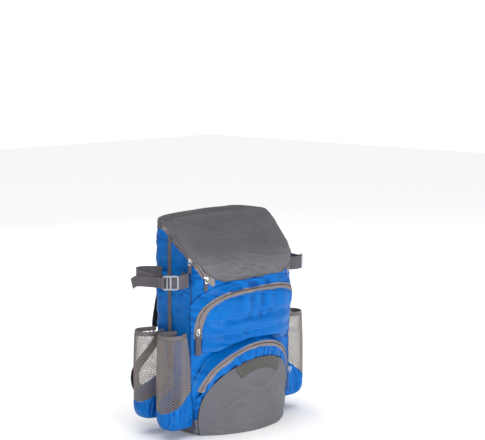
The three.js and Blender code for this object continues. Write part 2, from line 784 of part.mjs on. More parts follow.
// A flat buckle: a plate of cells on a grid of lines, with open slots between its bars. Its
// corners are cut across.
function buckleGeometry(width, height, thickness, slots) {
  const slot = (width - (slots + 1) * buckleBar) / slots;
  const xs = [-width / 2];
  for (let i = 0; i < slots; i += 1) {
    xs.push(xs[xs.length - 1] + buckleBar, xs[xs.length - 1] + buckleBar + slot);
  }
  xs.push(width / 2);
  const ys = [-height / 2, -height / 2 + buckleBar, height / 2 - buckleBar, height / 2];
  const filled = (i, j) => {
    if (i < 0 || j < 0 || i > xs.length - 2 || j > 2) return false;
    return j !== 1 || i % 2 === 0;
  };
  const cut = buckleBar * 0.6;
  const at = (i, j, side) => {
    const corner = (i === 0 || i === xs.length - 1) && (j === 0 || j === 3);
    const y = ys[j] - (corner ? Math.sign(ys[j]) * cut : 0);
    const x = xs[i] - (corner ? Math.sign(xs[i]) * cut * 0.4 : 0);
    return vector(x, y, (side * thickness) / 2);
  };
  const solid = new Solid();
  for (let i = 0; i < xs.length - 1; i += 1) {
    for (let j = 0; j < 3; j += 1) {
      if (!filled(i, j)) continue;
      const ring = [[i, j], [i + 1, j], [i + 1, j + 1], [i, j + 1]];
      const [a, b, c, d] = ring.map(([u, v]) => at(u, v, 1));
      const [e, f, g, h] = ring.map(([u, v]) => at(u, v, -1));
      solid.quad(a, b, c, d);
      solid.quad(h, g, f, e);
      if (!filled(i, j - 1)) solid.quad(b, a, e, f);
      if (!filled(i + 1, j)) solid.quad(c, b, f, g);
      if (!filled(i, j + 1)) solid.quad(d, c, g, h);
      if (!filled(i - 1, j)) solid.quad(a, d, h, e);
    }
  }
  return solid.geometry();
}

// A frame at a point: its x along run, its z outwards.
function frameAt(point, run, outward) {
  const z = outward.clone().normalize();
  const y = z.clone().cross(run).normalize();
  const x = y.clone().cross(z);
  return new THREE.Matrix4().makeBasis(x, y, z).setPosition(point);
}

function addSideStraps() {
  const up = vector(0, 0, 1);
  const outer = strapRadius;
  const buckleTurn = -buckleAngle;
  const buckleLift = strapWall / 2 + layGap + buckleWall / 2;
  const halfBuckle = buckleWidth / 2;
  for (const [sideName, side] of [['left', -1], ['right', 1]]) {
    const mirror = (p) => vector(p.x * side, p.y, p.z);
    const rearZ = strapHeight + strapRise;
    // The buckle faces out from the front sleeve's axis; the strap's last stretch lies under it.
    const along = vector(-Math.sin(radians(buckleTurn)), Math.cos(radians(buckleTurn)), 0);
    const under = loopPoint(frontSleeveY, buckleTurn, outer, strapHeight);
    const onPlane = (shift, lift) =>
      loopPoint(frontSleeveY, buckleTurn, outer + lift, strapHeight).addScaledVector(along, shift);
    // From the flat of the side panel round the rear sleeve's axis, then forward to the buckle.
    const flatEnd = bodyDepth - rearCornerRadius;
    const wallX = (y, z) => sideX(y, z) + strapWall / 2 + layGap;
    const loop = [
      vector(wallX(flatEnd - 12, rearZ), flatEnd - 12, rearZ),
      vector(wallX(flatEnd - 2, rearZ), flatEnd - 2, rearZ),
      ...[106, 75, 44, 14].map((turn) => loopPoint(rearSleeveY, turn, outer, rearZ)),
      loopPoint(rearSleeveY, 0, outer, rearZ - strapRise * 0.3),
      loopPoint(frontSleeveY, 0, outer, strapHeight + 1),
      onPlane(halfBuckle * 0.7, 0),
      onPlane(0, 0),
    ];
    const strap = band(loop.map(mirror), up, strapWidth, strapWall);
    add(`side_strap_${sideName}`, 'webbing', strap);
    const outward = mirror(under.clone().sub(loopPoint(frontSleeveY, 0, 0, strapHeight)));
    const run = outward.clone().cross(up);
    const geometry = buckleGeometry(buckleWidth, buckleHeight, buckleWall, buckleSlots);
    const frame = frameAt(mirror(onPlane(0, buckleLift)), run, outward);
    add(`side_strap_buckle_${sideName}`, 'buckle', geometry, frame);
    // The loose end: over the buckle's rear bar, back over the strap, and hanging at its end.
    const overBuckle = buckleLift + buckleWall / 2 + layGap + strapWall / 2;
    const overStrap = outer + strapWall + layGap;
    const tail = [
      onPlane(halfBuckle - buckleBar, overBuckle),
      onPlane(halfBuckle + buckleBar, overBuckle - 0.6),
      loopPoint(frontSleeveY, 8, overStrap + 2.4, strapHeight - 1),
      loopPoint(rearSleeveY, -8, overStrap + 0.5, strapHeight - tailDrop * 0.4),
      loopPoint(rearSleeveY, 22, overStrap + 0.8, strapHeight - tailDrop * 0.6),
      loopPoint(rearSleeveY, 50, overStrap + tailLoose, strapHeight - tailDrop * 1.2),
    ];
    const tailBand = band(smooth(tail, 12).map(mirror), up, strapWidth, strapWall);
    add(`side_strap_tail_${sideName}`, 'webbing', tailBand);
    // The sewn end: from under the buckle's front bar back to the front seam.
    const frontY = seamAt(strapHeight) + strapWidth * 0.3;
    const seat = wallX(frontY, strapHeight);
    const leave = onPlane(-halfBuckle - 3, 0);
    const anchor = [
      onPlane(-halfBuckle * 0.55, 0),
      leave,
      vector(lerp(seat, leave.x, 0.5), lerp(frontY, leave.y, 0.7) - 2, strapHeight),
      vector(seat + 1.4, frontY - 1, strapHeight),
      vector(seat, frontY + strapWidth * 0.3, strapHeight),
      vector(seat, frontY + strapWidth * 0.9, strapHeight),
    ];
    const anchorBand = band(anchor.map(mirror), up, anchorHeight, strapWall);
    add(`side_strap_anchor_${sideName}`, 'webbing', anchorBand);
    // Upright webbing on the side panel, between the two sleeves.
    const betweenY = (frontSleeveY + rearSleeveY) / 2;
    const upright = spaced(6, webbingBottom, webbingTop).map((z) =>
      mirror(vector(halfWidthAt(z) + restGap + webbingWall / 2, betweenY, z)),
    );
    const strip = band(upright, vector(0, 1, 0), webbingWidth, webbingWall);
    add(`side_webbing_${sideName}`, 'webbing', strip);
  }
}

// Zip fittings

function sliderGeometry() {
  const shape = new THREE.Shape();
  const [w, l] = [sliderWidth / 2, sliderLength / 2];
  shape.moveTo(-w * 0.55, -l);
  shape.lineTo(w * 0.55, -l);
  shape.lineTo(w, l * 0.3);
  shape.lineTo(w * 0.6, l);
  shape.lineTo(-w * 0.6, l);
  shape.lineTo(-w, l * 0.3);
  shape.closePath();
  const made = new THREE.ExtrudeGeometry(shape, { depth: sliderWall, bevelEnabled: false });
  return made;
}

// A slider on a surface at a point, with its length along run, and a pull hanging from its end.
function addFitting(name, point, run, outward, pullLength, pullWide) {
  const lift = outward.clone().normalize();
  const seat = point.clone().addScaledVector(lift, layGap);
  const across = run.clone().cross(lift);
  add(`${name}_slider`, 'metal', sliderGeometry(), frameAt(seat, across, lift));
  const start = seat.clone().addScaledVector(lift, pullWall / 2);
  const down = vector(0, 0, -1);
  down.addScaledVector(lift, -down.dot(lift)).normalize();
  start.addScaledVector(down, sliderLength / 2 + pullWall);
  const path = spaced(3, 0, pullLength).map((d) => start.clone().addScaledVector(down, d));
  const wide = down.clone().cross(lift);
  add(`${name}_pull`, 'webbing', band(path, wide, pullWide, pullWall));
}

function addFittings() {
  const fit = (name, arch, turn, length, wide) => {
    const p = archPoint(arch, turn, zipBand / 2);
    const q = archPoint(arch, turn + 2, zipBand / 2);
    const point = facePoint(p.x, p.y, 0);
    const run = facePoint(q.x, q.y, 0).sub(point);
    const outward = facePoint(p.x, p.y, -1).sub(point);
    addFitting(name, point, run, outward, length, wide);
  };
  fit('upper_pocket', upperArch, upperSliderTurn, upperPullLength, pullWidth);
  fit('lower_pocket', lowerArch, 70, lowerPullLength, pullWidth * 0.6);
  // Two sliders meet on the lid's left band, near its front end.
  for (const [name, index, share] of [['lid_upper', 0, 0.5], ['lid_lower', 2, 0.5]]) {
    const level = lidLevel(index) - seamGap - zipDrop(index) * share;
    const point = shellPoint(index, level);
    const next = shellPoint(index + 1, lidLevel(index + 1) - zipDrop(index + 1) * share);
    addFitting(name, point, next.sub(point), shellNormal(index, level), lidPullLength, 8);
  }
}

// Back

function addBack() {
  const backY = bodyDepth + layGap;
  // The pad: a crowned cushion with rounded corners.
  const around = 24;
  const ring = (keep, y) =>
    Array.from({ length: around }, (_, i) => {
      const turn = (2 * Math.PI * i) / around;
      const soft = (c) => Math.sign(c) * Math.abs(c) ** 0.5;
      const x = (padWidth / 2) * soft(Math.cos(turn)) * keep;
      const z = padBottom + padHeight / 2 + (padHeight / 2) * soft(Math.sin(turn)) * keep;
      return vector(x, y, z);
    });
  const rings = [
    ring(0, backY), ring(0.985, backY), ring(1, backY + padThickness * 0.4),
    ring(0.93, backY + padThickness * 0.85), ring(0.6, backY + padThickness),
    ring(0, backY + padThickness),
  ];
  add('back_pad', 'backCloth', tube(rings));

  const padY = backY + padThickness;
  for (const [sideName, side] of [['left', -1], ['right', 1]]) {
    const mirror = (p) => vector(p.x * side, p.y, p.z);
    const half = bodyWidth / 2;
    const span = shoulderTop - shoulderBottom;
    const seat = padY + shoulderThickness / 2 + layGap;
    // The padded strap: sewn to the pad at its top, slack in its middle.
    const endX = half * 0.66;
    const endY = seat + shoulderSlack * 0.8;
    const strapPath = [
      vector(half * 0.42, backY + shoulderThickness / 2, shoulderTop),
      vector(half * 0.42, backY + shoulderThickness / 2 + 2, shoulderTop - 12),
      vector(half * 0.43, seat + shoulderSlack * 0.25, shoulderTop - span * 0.14),
      vector(half * 0.46, seat + shoulderSlack * 0.85, shoulderTop - span * 0.32),
      vector(half * 0.51, seat + shoulderSlack, shoulderTop - span * 0.55),
      vector(half * 0.6, seat + shoulderSlack * 0.9, shoulderTop - span * 0.8),
      vector(endX, endY, shoulderBottom + 12),
      vector(endX, endY, shoulderBottom),
    ];
    const across = vector(side, 0, 0);
    const strap = band(
      smooth(strapPath, 14).map(mirror), across, shoulderWidth, shoulderThickness, 0, 8,
    );
    add(`shoulder_strap_${sideName}`, 'backCloth', strap);
    // The adjuster lies on the padded strap's lower end, and the webbing starts under it.
    const onStrap = endY + shoulderThickness / 2 + layGap + adjusterWall / 2;
    const centre = vector(endX, onStrap, shoulderBottom - adjusterHeight / 2 + adjusterLap);
    const frame = frameAt(mirror(centre), vector(1, 0, 0), vector(0, 1, 0));
    const adjuster = buckleGeometry(adjusterWidth, adjusterHeight, adjusterWall, 1);
    add(`strap_adjuster_${sideName}`, 'buckle', adjuster, frame);
    // The lower webbing bows out and comes back to the wing at the bottom corner.
    const wingX = half * 0.9 * 0.94;
    const wingZ = tabBottom + tabHeight;
    const reach = tabLength * 0.62;
    const outX = half * 1.06;
    const webY = onStrap - adjusterWall / 2 - layGap - strapWall / 2;
    const webZ = shoulderBottom - adjusterHeight + 2 * adjusterLap;
    const webbing = [
      vector(endX, webY, webZ),
      vector(endX, webY, webZ - 1.5 * adjusterLap),
      vector(lerp(endX, outX, 0.55), endY + webbingBow, shoulderBottom - span * 0.28),
      vector(outX, endY + webbingBow * 1.3, shoulderBottom - span * 0.42),
      vector(outX, endY + webbingBow, shoulderBottom - span * 0.56),
      vector(lerp(wingX, outX, 0.6), bodyDepth + reach + webbingBow * 0.4, wingZ + webbingBow),
      vector(wingX + tabFlare * 0.3, bodyDepth + reach, wingZ + layGap),
    ];
    const lower = band(smooth(webbing, 16).map(mirror), across, lowerWebbing, strapWall);
    add(`strap_webbing_${sideName}`, 'backCloth', lower);
    // The wing: a cloth triangle from the back's bottom corner to the webbing's end.
    const root = vector(wingX - tabInset, backY + tabWall * 0.3, 0);
    const tip = vector(wingX + tabFlare, bodyDepth + tabLength, 0);
    const shape = (p, spread) => {
      const mid = tabBottom + tabHeight * 0.52;
      return [mid + spread, mid - spread].map((z) => vector(p.x, p.y, z));
    };
    const thick = tip.clone().sub(root).cross(vector(0, 0, 1)).normalize();
    const rows = [0, 1].map((k) => {
      const push = thick.clone().multiplyScalar(tabWall * (k - 0.5));
      const rootPair = shape(root, tabHeight / 2);
      const tipPair = shape(tip, tabHeight * 0.12);
      return [rootPair, tipPair].map((pair) => pair.map((p) => mirror(p.add(push))));
    });
    add(`strap_tab_${sideName}`, 'backCloth', wall(rows[0], rows[1]));
  }

  // The haul loop: its ends are sewn above the pad, its middle stands away from the back.
  const loopTop = bodyHeight - lidRim - haulWidth / 2 - 2;
  const seatY = backY + strapWall / 2 + 2 * restGap;
  const loop = [
    vector(-haulSpan / 2, seatY, loopTop),
    vector(-haulSpan / 2 + 8, seatY + 6, loopTop - 4),
    vector(-haulSpan / 4, seatY + haulDrop * 0.7, loopTop - haulDrop * 0.2),
    vector(0, seatY + haulDrop, loopTop - haulDrop * 0.3),
    vector(haulSpan / 4, seatY + haulDrop * 0.7, loopTop - haulDrop * 0.2),
    vector(haulSpan / 2 - 8, seatY + 6, loopTop - 4),
    vector(haulSpan / 2, seatY, loopTop),
  ];
  add('haul_loop', 'backCloth', band(smooth(loop, 12), vector(0, 0, 1), haulWidth, strapWall));
}

addBody();
addBase();
addLid();
addLidZips();
addUpperPocket();
addLowerPocket();
addSleeves();
addSideStraps();
addFittings();
addBack();

// The origin is under the middle of the whole bag's box, on the floor.
const box = new THREE.Box3().setFromObject(parts, true);
parts.position.set(-(box.min.x + box.max.x) / 2, -(box.min.y + box.max.y) / 2, -box.min.z);
const backpack = new THREE.Group();
backpack.add(parts);

export default backpack;
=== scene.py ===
"""Baseball backpack: cloth, zips, nets, webbing and padding dressed over the packed frame."""

import math

import bpy
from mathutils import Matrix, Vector, noise
from mathutils.bvhtree import BVHTree


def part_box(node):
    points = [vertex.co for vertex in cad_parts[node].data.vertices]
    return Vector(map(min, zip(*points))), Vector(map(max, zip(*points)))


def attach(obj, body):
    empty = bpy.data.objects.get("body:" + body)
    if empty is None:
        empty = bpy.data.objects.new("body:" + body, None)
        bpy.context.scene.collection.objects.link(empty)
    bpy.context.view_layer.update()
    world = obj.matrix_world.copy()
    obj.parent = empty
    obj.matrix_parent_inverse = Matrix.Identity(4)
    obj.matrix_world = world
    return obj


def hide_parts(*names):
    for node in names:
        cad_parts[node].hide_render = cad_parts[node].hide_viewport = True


bl_info = {
    "name": "Baseball Backpack",
    "version": (1, 0, 0),
    "blender": (4, 5, 0),
    "location": "View3D > Sidebar > Backpack",
    "description": "Dresses the packed backpack frame in cloth, zips, nets and webbing",
    "category": "Object",
}

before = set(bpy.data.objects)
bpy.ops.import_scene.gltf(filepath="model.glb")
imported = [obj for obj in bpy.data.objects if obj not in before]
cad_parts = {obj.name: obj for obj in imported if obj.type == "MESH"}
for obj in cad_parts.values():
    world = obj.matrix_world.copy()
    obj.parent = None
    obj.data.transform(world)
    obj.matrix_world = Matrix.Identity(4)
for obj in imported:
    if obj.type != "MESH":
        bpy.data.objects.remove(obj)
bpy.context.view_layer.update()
MM = 0.001

# The noise that bends the folds starts from a seed, so that each run gives the same folds.
FOLD_SEED = 5
noise.seed_set(FOLD_SEED)

# Sizes of the bag that its frame was made with, in metres.
BODY_WIDTH = 340 * MM
BODY_HEIGHT = 507 * MM
BODY_DEPTH = 130 * MM
SEAM_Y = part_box("body_shell")[1].y - BODY_DEPTH
MIDDLE = Vector((0, SEAM_Y + BODY_DEPTH / 2, BODY_HEIGHT / 2))
ZIP_BAND = 13 * MM
SIDES = {"left": -1, "right": 1}

# The net sleeves: the axis beside the body, the radius of the net and of its hem, and the
# height where it starts to narrow.
SLEEVE_AXIS = BODY_WIDTH / 2 + 36 * MM
SLEEVE_RADIUS = 35 * MM
HEM_RADIUS = 32 * MM
SLEEVE_WAIST = 0.3 * BODY_HEIGHT
SLEEVE_TOP = 0.49 * BODY_HEIGHT
HEM_HEIGHT = 10 * MM
SLEEVE_Y = {"front": SEAM_Y + 0.215 * BODY_DEPTH, "rear": SEAM_Y + 0.823 * BODY_DEPTH}
BOOT_FLOOR = {
    "front_left": 20 * MM,
    "front_right": 34 * MM,
    "rear_left": 36 * MM,
    "rear_right": 36 * MM,
}
BOOT_HEIGHT = 44 * MM
BOOT_RISE = 48 * MM

# The lid's free edge over the front: height as a share of the body's, by the share of its half
# width.
LID_EDGE = [
    (0, 0.726),
    (0.35, 0.722),
    (0.6, 0.724),
    (0.74, 0.741),
    (0.86, 0.768),
    (0.93, 0.808),
    (1, 0.85),
]

# The arches of the two pockets: half width, top, the height where they become upright, and
# how square they are.
ARCHES = {
    "upper": (0.485 * BODY_WIDTH, 0.686 * BODY_HEIGHT, 0.465 * BODY_HEIGHT, 3.8),
    "lower": (0.488 * BODY_WIDTH, 0.423 * BODY_HEIGHT, 0.125 * BODY_HEIGHT, 2.1),
}
QUILT_LINES = [share * BODY_HEIGHT for share in (0.55, 0.481, 0.416)]

# How far in front of the bag the lines start that find its surface.
FAR = 0.6

# Woven patterns are turned halfway between the front and the sides, so that they show on both.
THREAD_TURN = (0.0, 0.0, math.pi / 4)
WHITE = (1.0, 1.0, 1.0, 1.0)

# Triangles of the frame that turn less than this from each other are joined to one quad.
FLAT = math.radians(60)

# Finishes with the frame's slot that each belongs to.
BLUE_CLOTH = ("blue_coated_polyester", "blueCloth")
LID_CLOTH = ("grey_lid_polyester", "greyCloth")
PANEL_CLOTH = ("grey_panel_polyester", "greyCloth")
ZIP_TAPE = ("zip_tape_twill", "zipTape")
ZIP_COIL = ("nylon_zip_coil", "zipTape")
WEBBING = ("ribbed_webbing", "webbing")
BACK_MESH = ("black_air_mesh", "backCloth")
BACK_WEBBING = ("black_webbing", "backCloth")
BUCKLE = ("acetal_buckle", "buckle")
PLATED = ("nickel_slider", "metal")

# The zips' coils and the stitches.
TOOTH = (1.3 * MM, 2.6 * MM, 1.3 * MM)
COIL_LIFT = 0.3 * MM
COIL_ASIDE = 0.8 * MM
STITCH_WIDTH = 0.7 * MM
STITCH_HEIGHT = 0.6 * MM
STITCH_LIFT = 0.15 * MM

# Piping of the front seams: where it starts and the distance between its points.
PIPING_FOOT = 16 * MM
PIPING_PITCH = 5 * MM
PIPING_POINTS = 80

# How far round a sleeve's open curve goes from its outermost line, and the share of the wall that
# each of the two flat wings beside it takes.
SLEEVE_TURN = math.radians(112)
WING_SHARE = 0.12

# The back pad's sewn channels: beside the middle, and the heights of the level ones.
PAD_CHANNEL_X = 45 * MM
PAD_CHANNELS_Z = (0.18, 0.33)


def linear(code):
    """An sRGB hex colour as linear values."""
    values = [int(code[i : i + 2], 16) / 255 for i in (0, 2, 4)]
    return tuple(c / 12.92 if c <= 0.04045 else ((c + 0.055) / 1.055) ** 2.4 for c in values)


def colour_property(name, description, code):
    return bpy.props.FloatVectorProperty(
        name=name, description=description, size=3, subtype="COLOR", min=0, max=1, default=linear(code)
    )


def length_property(name, description, millimetres):
    return bpy.props.FloatProperty(
        name=name,
        description=description,
        default=millimetres * MM,
        min=0,
        subtype="DISTANCE",
        unit="LENGTH",
    )


class BackpackColours(bpy.types.PropertyGroup):
    """Colours of the bag's cloths and fittings."""

    blue: colour_property("Blue cloth", "Coated polyester of the body and pockets", "006ABE")
    # Painted shade: this darker blue is painted into the fold valleys and the gaps between the threads;
    # it also tints the random drifts.
    blue_shade: colour_property("Blue in folds", "The same cloth where folds hold shade", "00468E")
    grey: colour_property("Grey cloth", "Polyester of the lid and the lower panel", "6A6A70")
    # Painted shade: this darker grey is painted into the fold valleys and the gaps between the threads;
    # it also tints the random drifts and is the grey thread's own colour.
    grey_shade: colour_property("Grey in folds", "The same cloth where folds hold shade", "55555A")
    tape: colour_property("Zip tape", "Woven tape of the zips", "8A8182")
    coil: colour_property("Zip coil", "Nylon coil of the zips", "5A5250")
    net: colour_property("Net", "Knitted yarn of the sleeves", "9A918C")
    hem: colour_property("Net hem", "Bound edge of the sleeves", "6E6A68")
    webbing: colour_property("Webbing", "Ribbed webbing of the side straps", "57525A")
    black: colour_property("Back cloth", "Air mesh of the back and shoulder straps", "2B2A2E")
    patch: colour_property("Patch", "Twill of the plain patch on the lower pocket", "4B4A47")
    piping: colour_property("Piping", "Cord along the seams", "0B3A7C")
    # Partly real and partly painted light: the quilting stitches are real thread, drawn pale as a painted
    # highlight along the quilted channels.
    quilt_thread_highlight: colour_property("Quilting thread", "Pale stitches of the quilted face", "5B9FE6")
    buckle: colour_property("Buckles", "Moulded acetal of the buckles", "8F949C")
    metal: colour_property("Sliders", "Plated metal of the zip sliders", "D2D0CB")
    floor: colour_property("Floor", "Pale paper sweep", "F2F2F2")


class BackpackSizes(bpy.types.PropertyGroup):
    """Sizes of the bag's fine work."""

    net_cell: length_property("Net cell", "Width and height of one hole of the net", 7.6)
    net_yarn: length_property("Net yarn", "Thickness of the net's strands", 1.9)
    stitch: length_property("Stitch", "Length of one stitch", 2.6)
    stitch_pitch: length_property("Stitch spacing", "From one stitch to the next", 4.2)
    tooth_pitch: length_property("Zip coil spacing", "From one turn of the coil to the next", 2.2)
    fold_height: length_property("Fold height", "Height of the soft folds in filled cloth", 3.2)
    quilt_puff: length_property("Quilt puff", "How far the quilting swells between its channels", 4.5)
    piping: length_property("Piping radius", "Radius of the cord along the seams", 1.3)


def colours():
    return bpy.context.scene.backpack_colours


def sizes():
    return bpy.context.scene.backpack_sizes


# Materials


def add_node(tree, kind, inputs=None, **settings):
    """Adds a shader node with its settings, and its sockets set to values or linked."""
    node = tree.nodes.new(kind)
    for key, value in settings.items():
        setattr(node, key, value)
    for key, value in (inputs or {}).items():
        socket = node.inputs[key]
        if isinstance(value, bpy.types.NodeSocket):
            tree.links.new(value, socket)
        else:
            socket.default_value = value
    return node


def rgba(colour, factor=1.0):
    """A colour as a socket's value, made darker or lighter by a factor."""
    return (*(min(1, c * factor) for c in colour), 1.0)


def new_material(name):
    material = bpy.data.materials.new(name)
    material.use_nodes = True
    material.node_tree.nodes.clear()
    return material, material.node_tree


def wave_scale(period):
    """The scale of a Wave texture whose bands lie a period apart, in metres."""
    return math.pi / 10 / period


def tint(tree, base, colour, value, low, high, at_high, at_low=0.0, blend="MIX"):
    """Lays a colour over a base: by the share at_low where a value is low or less, and by the
    share at_high where it is high or more."""
    limits = {"From Min": low, "From Max": high, "To Min": at_low, "To Max": at_high}
    share = add_node(tree, "ShaderNodeMapRange", {"Value": value, **limits}).outputs["Result"]
    laid = {0: share, 6: base, 7: colour}
    return add_node(tree, "ShaderNodeMix", laid, data_type="RGBA", blend_type=blend).outputs[2]


def surface(tree, colour, roughness, normal, **values):
    """The shader and its output. Values are sockets by name, with spaces as underscores."""
    inputs = {key.replace("_", " "): value for key, value in values.items()}
    inputs |= {"Base Color": colour, "Roughness": roughness, "Normal": normal}
    shader = add_node(tree, "ShaderNodeBsdfPrincipled", inputs)
    add_node(tree, "ShaderNodeOutputMaterial", {"Surface": shader.outputs["BSDF"]})


def woven_polyester(name, colour, shade, thread, roughness, crumple, sheen):
    """Plain-woven polyester with a coated back: a fine even grid of threads, a low satin sheen,
    small sharp creases that stay in the coating, and a deeper shade down in the folds."""
    material, tree = new_material(name)
    place = add_node(tree, "ShaderNodeTexCoord").outputs["Object"]
    turned = add_node(
        tree, "ShaderNodeMapping", {"Vector": place, "Rotation": THREAD_TURN}
    ).outputs["Vector"]
    # Threads lie 0.35 mm apart on the real cloth; they are drawn wider so that they show.
    warp, weft = (
        add_node(
            tree,
            "ShaderNodeTexWave",
            {"Vector": turned, "Scale": wave_scale(thread)},
            bands_direction=axis,
        ).outputs["Fac"]
        for axis in "XZ"
    )
    weave = add_node(
        tree, "ShaderNodeMath", {0: warp, 1: weft}, operation="MULTIPLY"
    ).outputs["Value"]
    # Creases 25 to 60 mm long, with sharp crests.
    fold = add_node(
        tree,
        "ShaderNodeTexNoise",
        {"Vector": place, "Scale": 17.0, "Detail": 3.0, "Roughness": 0.45, "Distortion": 0.7},
        noise_type="RIDGED_MULTIFRACTAL",
    ).outputs["Fac"]
    # Light and dark drifts 60 mm across, and faint slubs 12 mm long and 1 mm wide.
    drift = add_node(
        tree, "ShaderNodeTexNoise", {"Vector": place, "Scale": 16.0, "Detail": 3.0}
    ).outputs["Fac"]
    slub_place = add_node(
        tree, "ShaderNodeMapping", {"Vector": turned, "Scale": (60.0, 60.0, 900.0)}
    ).outputs["Vector"]
    slub = add_node(
        tree, "ShaderNodeTexNoise", {"Vector": slub_place, "Scale": 1.0, "Detail": 2.0}
    ).outputs["Fac"]
    base = tint(tree, rgba(colour), rgba(shade), drift, 0.3, 0.7, 0.35)
    base = tint(tree, base, WHITE, slub, 0.35, 0.75, 0.12, blend="SOFT_LIGHT")
    # Painted shade: the gaps between the drawn threads are darkened towards a dark copy of the shade
    # colour.
    base = tint(tree, base, rgba(shade, 0.4), weave, 0.0, 1.0, 0.0, 0.14)
    # Painted shade and painted highlight: the cloth is darkened towards its shade colour where it lies
    # below its neighbours in a fold, and lightened where it stands above them on a crest.
    depth = add_node(tree, "ShaderNodeAttribute", attribute_name="fold").outputs["Fac"]
    base = tint(tree, base, rgba(shade), depth, 0.04, 0.45, 0.8)
    base = tint(tree, base, rgba(colour, 1.25), depth, -0.05, -0.5, 0.4)
    creased = add_node(
        tree, "ShaderNodeBump", {"Height": fold, "Strength": crumple, "Distance": 4 * MM}
    ).outputs["Normal"]
    threaded = add_node(
        tree,
        "ShaderNodeBump",
        {"Height": weave, "Strength": 0.35, "Distance": 0.25 * MM, "Normal": creased},
    ).outputs["Normal"]
    limits = {"From Min": 0.2, "From Max": 0.8, "To Min": roughness - 0.05, "To Max": roughness + 0.06}
    rough = add_node(tree, "ShaderNodeMapRange", {"Value": drift, **limits}).outputs["Result"]
    satin = {"Sheen_Weight": sheen, "Sheen_Roughness": 0.4, "Specular_IOR_Level": 0.13}
    surface(tree, base, rough, threaded, IOR=1.5, **satin)
    return material


def ribbed_tape(name, colour, rib, roughness, lengthways="Z", valley_shade=0.5):
    """Woven nylon tape or webbing: raised ribs with dull valleys between them."""
    material, tree = new_material(name)
    place = add_node(tree, "ShaderNodeTexCoord").outputs["Object"]
    turned = add_node(
        tree, "ShaderNodeMapping", {"Vector": place, "Rotation": THREAD_TURN}
    ).outputs["Vector"]
    rows, picks = (
        add_node(
            tree,
            "ShaderNodeTexWave",
            {"Vector": turned, "Scale": wave_scale(period)},
            bands_direction=axis,
        ).outputs["Fac"]
        for axis, period in ((lengthways, rib), ("X", rib * 1.3))
    )
    ribs = add_node(tree, "ShaderNodeMath", {0: rows, 1: 0.7}, operation="MULTIPLY").outputs["Value"]
    ribs = add_node(
        tree, "ShaderNodeMath", {0: picks, 1: 0.3, 2: ribs}, operation="MULTIPLY_ADD"
    ).outputs["Value"]
    # Fuzz 1.4 mm across, and paler worn places 22 mm across.
    fuzz = add_node(
        tree, "ShaderNodeTexNoise", {"Vector": place, "Scale": 700.0, "Detail": 2.0}
    ).outputs["Fac"]
    wear = add_node(
        tree, "ShaderNodeTexNoise", {"Vector": place, "Scale": 45.0, "Detail": 3.0}
    ).outputs["Fac"]
    # Painted shade: the valleys between the ribs are darkened towards a darker copy of the colour.
    base = tint(tree, rgba(colour), rgba(colour, 0.45), ribs, 0.2, 0.9, 0.0, valley_shade)
    base = tint(tree, base, rgba(colour, 1.7), wear, 0.45, 0.8, 0.22)
    soft = add_node(
        tree, "ShaderNodeBump", {"Height": fuzz, "Strength": 0.2, "Distance": 0.3 * MM}
    ).outputs["Normal"]
    ribbed = add_node(
        tree, "ShaderNodeBump", {"Height": ribs, "Strength": 0.6, "Distance": 0.5 * MM, "Normal": soft}
    ).outputs["Normal"]
    surface(tree, base, roughness, ribbed, IOR=1.5, Sheen_Weight=0.15, Sheen_Roughness=0.5)
    return material


def air_mesh(name, colour):
    """Black spacer mesh: a soft knitted face with small round wells 3 mm apart."""
    material, tree = new_material(name)
    place = add_node(tree, "ShaderNodeTexCoord").outputs["Object"]
    wells = add_node(
        tree, "ShaderNodeTexVoronoi", {"Vector": place, "Scale": 300.0, "Randomness": 0.25}
    ).outputs["Distance"]
    face = add_node(
        tree, "ShaderNodeMapRange", {"Value": wells, "From Min": 0.15, "From Max": 0.42}
    ).outputs["Result"]
    fuzz = add_node(
        tree, "ShaderNodeTexNoise", {"Vector": place, "Scale": 90.0, "Detail": 4.0}
    ).outputs["Fac"]
    # Painted shade: the wells are drawn at about a third of the colour's brightness, and the knitted face
    # at its full colour.
    base = tint(tree, rgba(colour, 0.35), rgba(colour), face, 0.0, 1.0, 1.0)
    base = tint(tree, base, rgba(colour, 2.2), fuzz, 0.4, 0.8, 0.2)
    bumped = add_node(
        tree, "ShaderNodeBump", {"Height": face, "Strength": 0.7, "Distance": 0.9 * MM}
    ).outputs["Normal"]
    surface(tree, base, 0.85, bumped, Sheen_Weight=0.3, Sheen_Roughness=0.5)
    return material


def knitted_yarn(name, colour):
    """Knitted polyester yarn of the net: dull, with a twist along each strand."""
    material, tree = new_material(name)
    place = add_node(tree, "ShaderNodeTexCoord").outputs["Object"]
    twist = add_node(
        tree,
        "ShaderNodeTexWave",
        {"Vector": place, "Scale": wave_scale(0.9 * MM)},
        bands_direction="DIAGONAL",
    ).outputs["Fac"]
    drift = add_node(
        tree, "ShaderNodeTexNoise", {"Vector": place, "Scale": 35.0, "Detail": 2.0}
    ).outputs["Fac"]
    base = tint(tree, rgba(colour), rgba(colour, 0.7), drift, 0.3, 0.7, 0.6)
    bumped = add_node(
        tree, "ShaderNodeBump", {"Height": twist, "Strength": 0.4, "Distance": 0.3 * MM}
    ).outputs["Normal"]
    surface(tree, base, 0.72, bumped, Sheen_Weight=0.2, Sheen_Roughness=0.5)
    return material


